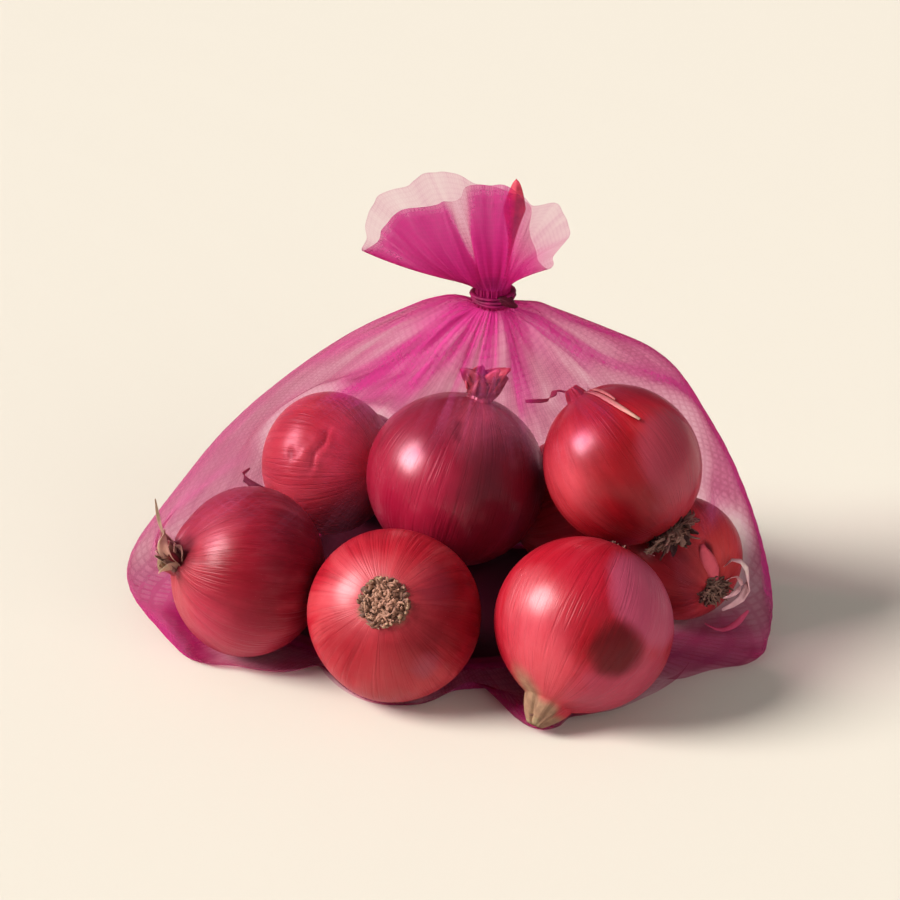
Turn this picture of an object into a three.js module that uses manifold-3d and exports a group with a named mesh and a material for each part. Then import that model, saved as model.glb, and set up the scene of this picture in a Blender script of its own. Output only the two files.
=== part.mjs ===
// A net of red onions: a sheer tube of net, full of round onions, gathered and tied at the top.
// Millimetres, +Z up. The net stands on its flat underside and its tied neck points up.
// The filled net is one solid with the form of the stretched net over the onions inside it.

import * as THREE from 'three';
import { mergeVertices } from 'three/addons/utils/BufferGeometryUtils.js';
import Module from 'manifold-3d';

const wasm = await Module();
wasm.setup();

// ---- Driving dimensions ------------------------------------------------------------------

const FLOOR_GAP = 0.6;            // net and slack between an onion and the surface it stands on
const NECK = new THREE.Vector3(16, 22, 146);         // middle of the tied neck
const NECK_RADIUS = 6.4;
const NECK_HEIGHT = 8;            // straight part of the neck, where the tie sits
const HEART = new THREE.Vector3(0, 34, 50);          // middle of the heap of onions
const SEAM_RADIUS = 2.6;          // folded side edges of the net tube
const SEAM_STEP = 4;              // spacing of the sample points along a side edge
const SEAM_STIFFNESS = 9;         // how far from a side edge the net still stays tight
const DIP_DEPTH = 7;              // how far the net dips at most between two onions
const DIP_SHARE = 0.4;            // share of the free space that a dip takes
const TUCK_DEPTH = 24;            // how far it tucks in between two onions on the floor
const TUCK_SHARE = 1.1;
const TUCK_HEIGHT = 30;           // height up to which it tucks in sideways

const PLEATS = 13;                // gathers that run down from the neck
const PLEAT_DEPTH = 3.4;
const PLEAT_REACH = 62;           // distance from the neck at which the gathers have died out
const FRILL_RUFFLES = 9;          // small waves round the frill
const FRILL_WAVE = 1.1;
const FRILL_FLARE = 0.85;         // the frill opens sideways fast at first
const FRILL_RISE = 1.25;          // and rises slowly
const FUNNEL_DEPTH = 24;          // how deep the open mouth of the frill goes down

const TIE_HEIGHT = 4.6;
const TIE_INNER = 6.95;
const TIE_OUTER = 8.7;
const KNOT_RADIUS = 3.6;
const TAIL_LENGTH = 40.5;
const TAIL_WIDTH = 8.4;
const TAIL_THICKNESS = 1.2;

// Grid of the net solid: columns round the axis, and rows of each stretch from the top down.
const COLUMNS = 80;
const SIDE_CROWDING = 0.33;       // crowds the columns towards the two side edges
const FUNNEL_ROWS = 4;
const FRILL_ROWS = 9;
const NECK_ROWS = 3;
const BELLY_ROWS = 38;
const HULL_NORMALS = 3600;

// The onions: where each lies, its radius across, its radius from root to neck, and the
// direction in which its neck points. The first seven show from the front, the rest lie behind.
const ONIONS = [
  { at: [-78.5, 7.2, 34.6], across: 34.0, along: 29.4, neck: [-0.93, -0.25, 0.27] },
  { at: [-21.2, -21.1, 32.9], across: 33.6, along: 28.8, neck: [0.08, 0.83, -0.55] },
  { at: [50.3, -30.1, 34.1], across: 34.5, along: 32.3, neck: [-0.42, -0.58, -0.69] },
  { at: [-49.5, 69.2, 49.2], across: 29.8, along: 25.8, neck: [0.83, -0.52, 0.17] },
  { at: [2.4, 36.4, 59.7], across: 36.3, along: 33.9, neck: [0.27, 0.2, 0.94] },
  { at: [66.3, 19.0, 75.4], across: 30.8, along: 31.2, neck: [-0.56, 0.39, 0.73] },
  { at: [92.0, 32.4, 26.2], across: 25.6, along: 24.0, neck: [-0.51, 0.85, 0.15] },
  { at: [2.1, 89.3, 26.8], across: 26.3, along: 24.2, neck: [0.0, 0.96, 0.29] },
  { at: [51.9, 67.3, 30.2], across: 29.6, along: 27.2, neck: [0.94, 0.19, 0.28] },
  { at: [-39.6, 115.2, 24.0], across: 23.6, along: 22.0, neck: [-0.61, 0.61, 0.51] },
];

// Hard ends that push the net out: dried onion necks, as small balls.
const NECK_ENDS = [
  { at: [-106, -6, 57], radius: 4.5 },
  { at: [34, -57, 9], radius: 7 },
];

// The two side edges of the flat net tube, from the shoulder down to the corner on the floor.
const LEFT_SEAM = [[-8, 24, 140], [-38, 33, 121], [-78, 38, 89], [-114, 41, 45], [-127, 38, 17], [-102, -1, 2.2]];
const RIGHT_SEAM = [[41, 26, 133], [78, 34, 114], [101, 37, 82], [118, 34, 45], [126, 20, 14], [121, -7, 2.4]];

// The hem of the frill from its right end round the back, the left end and the front, measured
// from the middle of the neck.
const HEM = [
  [26, 4, 18], [22, 13, 29], [12, 11, 28], [4, 18, 35], [-6, 20, 35], [-13, 15, 36],
  [-21, 19, 41], [-32, 16, 36], [-43, 10, 31], [-49, 2, 22], [-44, -6, 28], [-34, -12, 41],
  [-20, -13, 43], [-14, -9, 39], [-9, -12, 49], [4, -11, 48], [11, -8, 35], [18, -5, 19],
];

// ---- Finishes ----------------------------------------------------------------------------

const netFinish = new THREE.MeshStandardMaterial({ color: 0xc83a86, roughness: 0.7, metalness: 0 });
const tieFinish = new THREE.MeshStandardMaterial({ color: 0x7a1030, roughness: 0.55, metalness: 0 });

// ---- The stretched net -------------------------------------------------------------------

const vec = (xyz) => new THREE.Vector3(...xyz);

// One bulge is an ellipsoid of revolution that the net is stretched over. The net stays tight
// up to the distance hold from it.
function bulge(centre, across, along, axis, hold) {
  return { centre, across, along, axis, hold };
}

function seamBulges(points) {
  const curve = new THREE.CatmullRomCurve3(points.map(vec), false, 'centripetal');
  const count = Math.round(curve.getLength() / SEAM_STEP);
  const up = new THREE.Vector3(0, 0, 1);
  return curve.getSpacedPoints(count).map((p) => bulge(p, SEAM_RADIUS, SEAM_RADIUS, up, SEAM_STIFFNESS));
}

function allBulges() {
  const up = new THREE.Vector3(0, 0, 1);
  const onions = ONIONS.map((o) => bulge(vec(o.at), o.across, o.along, vec(o.neck).normalize(), 0));
  const ends = NECK_ENDS.map((e) => bulge(vec(e.at), e.radius, e.radius, up, e.radius));
  const neck = bulge(NECK.clone().setZ(NECK.z - NECK_HEIGHT / 2), NECK_RADIUS, NECK_RADIUS, up, 0);
  return [...onions, ...ends, neck, ...seamBulges(LEFT_SEAM), ...seamBulges(RIGHT_SEAM)];
}

const BULGES = allBulges();

// How far the bulge reaches in direction n, measured from the origin.
function support(b, n) {
  const c = n.dot(b.axis);
  return n.dot(b.centre) + Math.sqrt((b.along * c) ** 2 + b.across ** 2 * (1 - c * c));
}

// Tangent planes of the net in evenly spread directions, and the floor.
function tangentPlanes() {
  const planes = [];
  const golden = Math.PI * (3 - Math.sqrt(5));
  for (let i = 0; i < HULL_NORMALS; i += 1) {
    const z = 1 - (2 * (i + 0.5)) / HULL_NORMALS;
    const r = Math.sqrt(1 - z * z);
    const n = new THREE.Vector3(r * Math.cos(golden * i), r * Math.sin(golden * i), z);
    const reach = Math.max(...BULGES.map((b) => support(b, n))) + FLOOR_GAP;
    planes.push({ n, room: reach - n.dot(HEART) });
  }
  planes.push({ n: new THREE.Vector3(0, 0, -1), room: HEART.z });
  return planes;
}

const PLANES = tangentPlanes();

// Distance from the heart of the heap to the tight net along direction d.
function tightReach(d) {
  let reach = Infinity;
  for (const { n, room } of PLANES) {
    const c = n.dot(d);
    if (c > 1e-6) reach = Math.min(reach, room / c);
  }
  return reach;
}

// Distance from a point to the surface of a bulge, negative inside it.
function distanceTo(b, p) {
  const off = p.clone().sub(b.centre);
  const length = off.length();
  const c = off.dot(b.axis) / length;
  return length - 1 / Math.sqrt((c / b.along) ** 2 + (1 - c * c) / b.across ** 2);
}

// Free space into which the net can dip at a point of the tight net.
function freeSpace(p) {
  return Math.max(0, Math.min(...BULGES.map((b) => distanceTo(b, p) - b.hold)));
}

// Moves a point of the net out of any onion that it would pass through.
function keepClear(p) {
  for (const b of BULGES) {
    const inside = FLOOR_GAP - distanceTo(b, p);
    if (inside > 0) p.addScaledVector(p.clone().sub(b.centre).normalize(), inside);
  }
}

// ---- Rows of the net solid ---------------------------------------------------------------

const neckBase = NECK.clone().setZ(NECK.z - NECK_HEIGHT / 2);
const AXIS = neckBase.clone().sub(HEART).normalize();
const SIDE = new THREE.Vector3(1, 0, 0).addScaledVector(AXIS, -AXIS.x).normalize();
const BACK = AXIS.clone().cross(SIDE);
const NECK_ANGLE = Math.atan2(NECK_RADIUS, neckBase.distanceTo(HEART));

// The angle round the axis at which a column lies.
function columnAngle(turn) {
  return 2 * Math.PI * turn - SIDE_CROWDING * Math.sin(4 * Math.PI * turn);
}

// Uneven gathers: a sum of two waves round the neck that never quite repeat.
function pleat(turn) {
  const a = columnAngle(turn);
  return 0.65 * Math.sin(PLEATS * a + 0.9 * Math.sin(2 * a)) + 0.35 * Math.sin((PLEATS - 5) * a + 1.3);
}

function bellyPoint(turn, share) {
  const a = columnAngle(turn);
  const tilt = NECK_ANGLE + (Math.PI - NECK_ANGLE) * share;
  const d = AXIS.clone().multiplyScalar(Math.cos(tilt));
  d.addScaledVector(SIDE, Math.sin(tilt) * Math.cos(a));
  d.addScaledVector(BACK, Math.sin(tilt) * Math.sin(a));
  const tight = HEART.clone().addScaledVector(d, tightReach(d));
  const high = THREE.MathUtils.smoothstep(tight.z, 0, TUCK_HEIGHT);
  const space = freeSpace(tight);
  const dip = DIP_DEPTH * Math.tanh((DIP_SHARE * space) / DIP_DEPTH) * high;
  const tuck = TUCK_DEPTH * Math.tanh((TUCK_SHARE * space) / TUCK_DEPTH) * (1 - high);
  const sideways = new THREE.Vector3(d.x, d.y, 0);
  const away = tight.distanceTo(neckBase) / PLEAT_REACH;
  const fade = 4 * away * Math.exp(-3 * away) * Math.sin(tilt) ** 2;
  const point = tight.addScaledVector(d, PLEAT_DEPTH * pleat(turn) * fade - dip);
  point.addScaledVector(sideways, -tuck);
  keepClear(point);
  if (share < 0.12) {
    const ring = neckPoint(turn, 1);
    point.lerp(ring, (1 - THREE.MathUtils.smoothstep(share, 0, 0.12)) ** 2);
  }
  point.z = Math.max(point.z, 0);
  return point;
}

function neckPoint(turn, share) {
  const a = columnAngle(turn);
  const radius = NECK_RADIUS + 0.25 * pleat(turn);
  const height = NECK.z + NECK_HEIGHT * (0.5 - share);
  return new THREE.Vector3(NECK.x + radius * Math.cos(a), NECK.y + radius * Math.sin(a), height);
}

const hemCurve = new THREE.CatmullRomCurve3(HEM.map(vec), true, 'centripetal');

// The frill opens out from the top of the neck (share 1) to its hem (share 0).
function frillPoint(turn, share) {
  const root = neckPoint(turn, 0);
  const hem = hemCurve.getPoint(turn % 1).add(NECK);
  const open = 1 - share;
  const flare = open ** FRILL_FLARE;
  const rise = open ** FRILL_RISE;
  const point = new THREE.Vector3(
    THREE.MathUtils.lerp(root.x, hem.x, flare),
    THREE.MathUtils.lerp(root.y, hem.y, flare),
    THREE.MathUtils.lerp(root.z, hem.z, rise),
  );
  const wave = FRILL_WAVE * Math.sin(2 * Math.PI * FRILL_RUFFLES * turn) * 4 * open * share;
  const out = new THREE.Vector3(point.x - NECK.x, point.y - NECK.y, 0).normalize();
  return point.addScaledVector(out, wave);
}

// The open mouth: inside of the frill, from the bottom of the funnel (share 0) to the hem.
function funnelPoint(turn, share) {
  const hem = frillPoint(turn, 0);
  const bottom = new THREE.Vector3(NECK.x - 3, NECK.y + 1, NECK.z + FUNNEL_DEPTH);
  return bottom.lerp(hem, share);
}

// Where the grid vertex of a row lies: funnel, frill, neck and belly follow each other down.
function netPoint(turn, row) {
  if (row < FUNNEL_ROWS) return funnelPoint(turn, row / FUNNEL_ROWS);
  const below = row - FUNNEL_ROWS;
  if (below <= FRILL_ROWS) return frillPoint(turn, below / FRILL_ROWS);
  if (below <= FRILL_ROWS + NECK_ROWS) return neckPoint(turn, (below - FRILL_ROWS) / NECK_ROWS);
  return bellyPoint(turn, (below - FRILL_ROWS - NECK_ROWS) / BELLY_ROWS);
}

function weld(geometry) {
  geometry.deleteAttribute('normal');
  geometry.deleteAttribute('uv');
  return mergeVertices(geometry, 1e-4);
}

function netGeometry() {
  const rows = FUNNEL_ROWS + FRILL_ROWS + NECK_ROWS + BELLY_ROWS;
  const geometry = new THREE.SphereGeometry(1, COLUMNS, rows);
  const position = geometry.attributes.position;
  for (let row = 0; row <= rows; row += 1) {
    for (let column = 0; column <= COLUMNS; column += 1) {
      const p = netPoint((column % COLUMNS) / COLUMNS, row);
      position.setXYZ(row * (COLUMNS + 1) + column, p.x, p.y, p.z);
    }
  }
  return weld(geometry);
}

// ---- The tie -----------------------------------------------------------------------------

function toManifold(geometry) {
  const welded = weld(geometry);
  return new wasm.Manifold(new wasm.Mesh({
    numProp: 3,
    vertProperties: new Float32Array(welded.attributes.position.array),
    triVerts: new Uint32Array(welded.index.array),
  }));
}

function fromManifold(solid) {
  const mesh = solid.getMesh();
  const geometry = new THREE.BufferGeometry();
  geometry.setAttribute('position', new THREE.BufferAttribute(mesh.vertProperties, 3));
  geometry.setIndex(new THREE.BufferAttribute(mesh.triVerts, 1));
  return geometry;
}

// A soft band round the neck, its section a rounded bar.
function bandGeometry() {
  const middle = (TIE_INNER + TIE_OUTER) / 2;
  const half = (TIE_OUTER - TIE_INNER) / 2;
  const section = [];
  for (let i = 0; i <= 10; i += 1) {
    const a = (-2 * Math.PI * i) / 10;
    section.push(new THREE.Vector2(middle + half * Math.cos(a), -0.5 * TIE_HEIGHT * Math.sin(a)));
  }
  return new THREE.LatheGeometry(section, 32).rotateX(Math.PI / 2);
}

function knotGeometry() {
  const knot = new THREE.SphereGeometry(KNOT_RADIUS, 14, 10).scale(1.15, 0.8, 1);
  return knot.translate(TIE_OUTER * 0.62, -TIE_OUTER * 0.72, -0.6);
}

// The free end of the tie: a pointed strip that rises behind the frill from the back of the band.
function tailGeometry() {
  const narrow = 0.22 * TAIL_WIDTH;
  const outline = new THREE.Shape();
  outline.moveTo(-narrow, -2);
  outline.lineTo(narrow, -2);
  outline.quadraticCurveTo(narrow, 0.5 * TAIL_LENGTH, 0.5 * TAIL_WIDTH, 0.72 * TAIL_LENGTH);
  outline.quadraticCurveTo(0.4 * TAIL_WIDTH, 0.88 * TAIL_LENGTH, 0, TAIL_LENGTH);
  outline.quadraticCurveTo(-0.3 * TAIL_WIDTH, 0.86 * TAIL_LENGTH, -0.5 * TAIL_WIDTH, 0.68 * TAIL_LENGTH);
  outline.quadraticCurveTo(-narrow, 0.4 * TAIL_LENGTH, -narrow, -2);
  const strip = new THREE.ExtrudeGeometry(outline, {
    depth: TAIL_THICKNESS, bevelEnabled: false, curveSegments: 6,
  });
  strip.translate(0, 0, -TAIL_THICKNESS / 2);
  strip.rotateX(Math.PI / 2 - 0.33);
  return strip.rotateY(0.1).translate(4.8, TIE_OUTER - 1.1, 0);
}

function tieGeometry() {
  const band = toManifold(bandGeometry());
  const knot = toManifold(knotGeometry());
  const tail = toManifold(tailGeometry());
  const clearance = new THREE.CylinderGeometry(TIE_INNER, TIE_INNER, 4 * KNOT_RADIUS, 32).rotateX(Math.PI / 2);
  return fromManifold(band.add(knot).add(tail).subtract(toManifold(clearance)));
}

// ---- The whole ---------------------------------------------------------------------------

const netBag = new THREE.Mesh(netGeometry(), netFinish);
netBag.name = 'net_bag';

const netTie = new THREE.Mesh(tieGeometry(), tieFinish);
netTie.name = 'net_tie';
netTie.position.copy(NECK);

const pack = new THREE.Group();
pack.add(netBag, netTie);

// The origin is the middle of the underside of the whole.
const box = new THREE.Box3().setFromObject(pack);
pack.position.set(-(box.min.x + box.max.x) / 2, -(box.min.y + box.max.y) / 2, 0);

export default pack;
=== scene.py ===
"""Net of red onions: a sheer pink net, its tie and the ten onions in it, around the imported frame.

Laid out as an add-on and run as a script. Shapes are worked out in millimetres and stored in metres.
"""

import math

import bmesh
import bpy
import numpy as np
from mathutils import Matrix, Vector


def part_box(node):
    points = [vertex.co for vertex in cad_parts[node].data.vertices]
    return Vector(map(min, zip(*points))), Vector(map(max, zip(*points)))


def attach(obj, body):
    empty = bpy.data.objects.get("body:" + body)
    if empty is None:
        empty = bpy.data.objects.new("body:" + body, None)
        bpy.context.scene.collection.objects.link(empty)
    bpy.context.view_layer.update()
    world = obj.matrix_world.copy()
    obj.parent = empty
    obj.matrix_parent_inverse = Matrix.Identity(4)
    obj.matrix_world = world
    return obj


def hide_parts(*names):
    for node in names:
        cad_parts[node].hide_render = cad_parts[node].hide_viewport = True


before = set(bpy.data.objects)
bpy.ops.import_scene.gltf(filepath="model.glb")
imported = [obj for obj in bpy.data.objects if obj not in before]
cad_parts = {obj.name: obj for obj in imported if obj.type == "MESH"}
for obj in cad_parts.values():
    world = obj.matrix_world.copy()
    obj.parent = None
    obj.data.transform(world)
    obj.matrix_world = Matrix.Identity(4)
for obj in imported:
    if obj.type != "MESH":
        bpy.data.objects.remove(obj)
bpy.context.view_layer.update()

MM = 0.001
TAU = 2 * math.pi

bl_info = {
    "name": "Net of Red Onions",
    "version": (1, 0, 0),
    "blender": (4, 5, 0),
    "location": "3D View > Sidebar > Onion Net",
    "description": "Builds a tied sheer net full of red onions with its stage",
    "category": "Add Mesh",
}

# ---- Sizes of the filled net, in millimetres, with the heap's own origin ------------------------

FLOOR_GAP = 0.6          # room that the net keeps from the onions
NECK = np.array((16.0, 22.0, 146.0))
NECK_RADIUS = 6.4
NECK_HEIGHT = 8.0
NECK_BASE = NECK - (0, 0, NECK_HEIGHT / 2)
HEART = np.array((0.0, 34.0, 50.0))     # a place inside from which all of the net is seen
SEAM_RADIUS = 2.6
SEAM_STEP = 4.0
SEAM_STIFFNESS = 9.0
DIP_DEPTH, DIP_SHARE = 7.0, 0.4         # how far the net sinks between the onions
TUCK_DEPTH, TUCK_SHARE, TUCK_HEIGHT = 24.0, 1.1, 30.0   # and near the floor
FRILL_FLARE, FRILL_RISE = 0.85, 1.25
TIE_HEIGHT, TIE_INNER, TIE_OUTER = 4.6, 6.95, 8.7
TAIL_LENGTH, TAIL_WIDTH = 40.5, 8.4

# The two stretched side edges of the net from its neck to its corners, and two stiff ends that push
# it out, each with its radius.
LEFT_SEAM = ((-8, 24, 140), (-38, 33, 121), (-77, 38, 88), (-105, 41, 53), (-128, 38, 15), (-102, -1, 2.2))
RIGHT_SEAM = ((41, 26, 133), (78, 34, 114), (101, 37, 82), (118, 34, 45), (126, 20, 14), (121, -1, 2.4))
NECK_ENDS = (((-106, -6, 57), 4.5), ((33.5, -53.5, 6.6), 4.2))

# Hem of the frill from its right end round the back, the left end and the front, from NECK.
HEM = (
    (27, 5, 20), (24, 13, 31), (13, 12, 31), (4, 18, 35), (-6, 20, 37), (-13, 17, 40),
    (-23, 19, 41), (-34, 17, 37), (-44, 12, 31), (-48.5, 5, 22), (-46, -4, 19), (-41, -9, 30), (-33, -12, 38),
    (-20, -13, 42), (-13, -9, 41), (-8, -12, 48), (4, -11, 48), (12, -8, 37), (18, -6, 13),
)

# The camera looks down on the heap from the front.
CAMERA_ELEVATION = 28.0
CAMERA_DISTANCE = 900.0
CAMERA_TARGET = np.array((0.0, 0.0, 92.0))
CAMERA_LENS = 96.0

# Middle of the filled net's box in the heap's own frame; the frame stands over it.
HEAP_MIDDLE = np.array((-0.574, 36.62, 0.0))

ELEVATION = math.radians(CAMERA_ELEVATION)
VIEW_RIGHT = np.array((1.0, 0.0, 0.0))
VIEW_UP = np.array((0.0, math.sin(ELEVATION), math.cos(ELEVATION)))
VIEW_BACK = np.array((0.0, -math.cos(ELEVATION), math.sin(ELEVATION)))


def towards(right, up, near):
    """Unit vector given as seen from the front: to the right, upwards and towards the viewer."""
    v = VIEW_RIGHT * right + VIEW_UP * up + VIEW_BACK * near
    return v / np.linalg.norm(v)


def seen(right, up):
    """Where a ball's skin is seen at shares of its radius to the right of and above its middle."""
    return towards(right, up, math.sqrt(max(1 - right * right - up * up, 0.0)))


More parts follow.
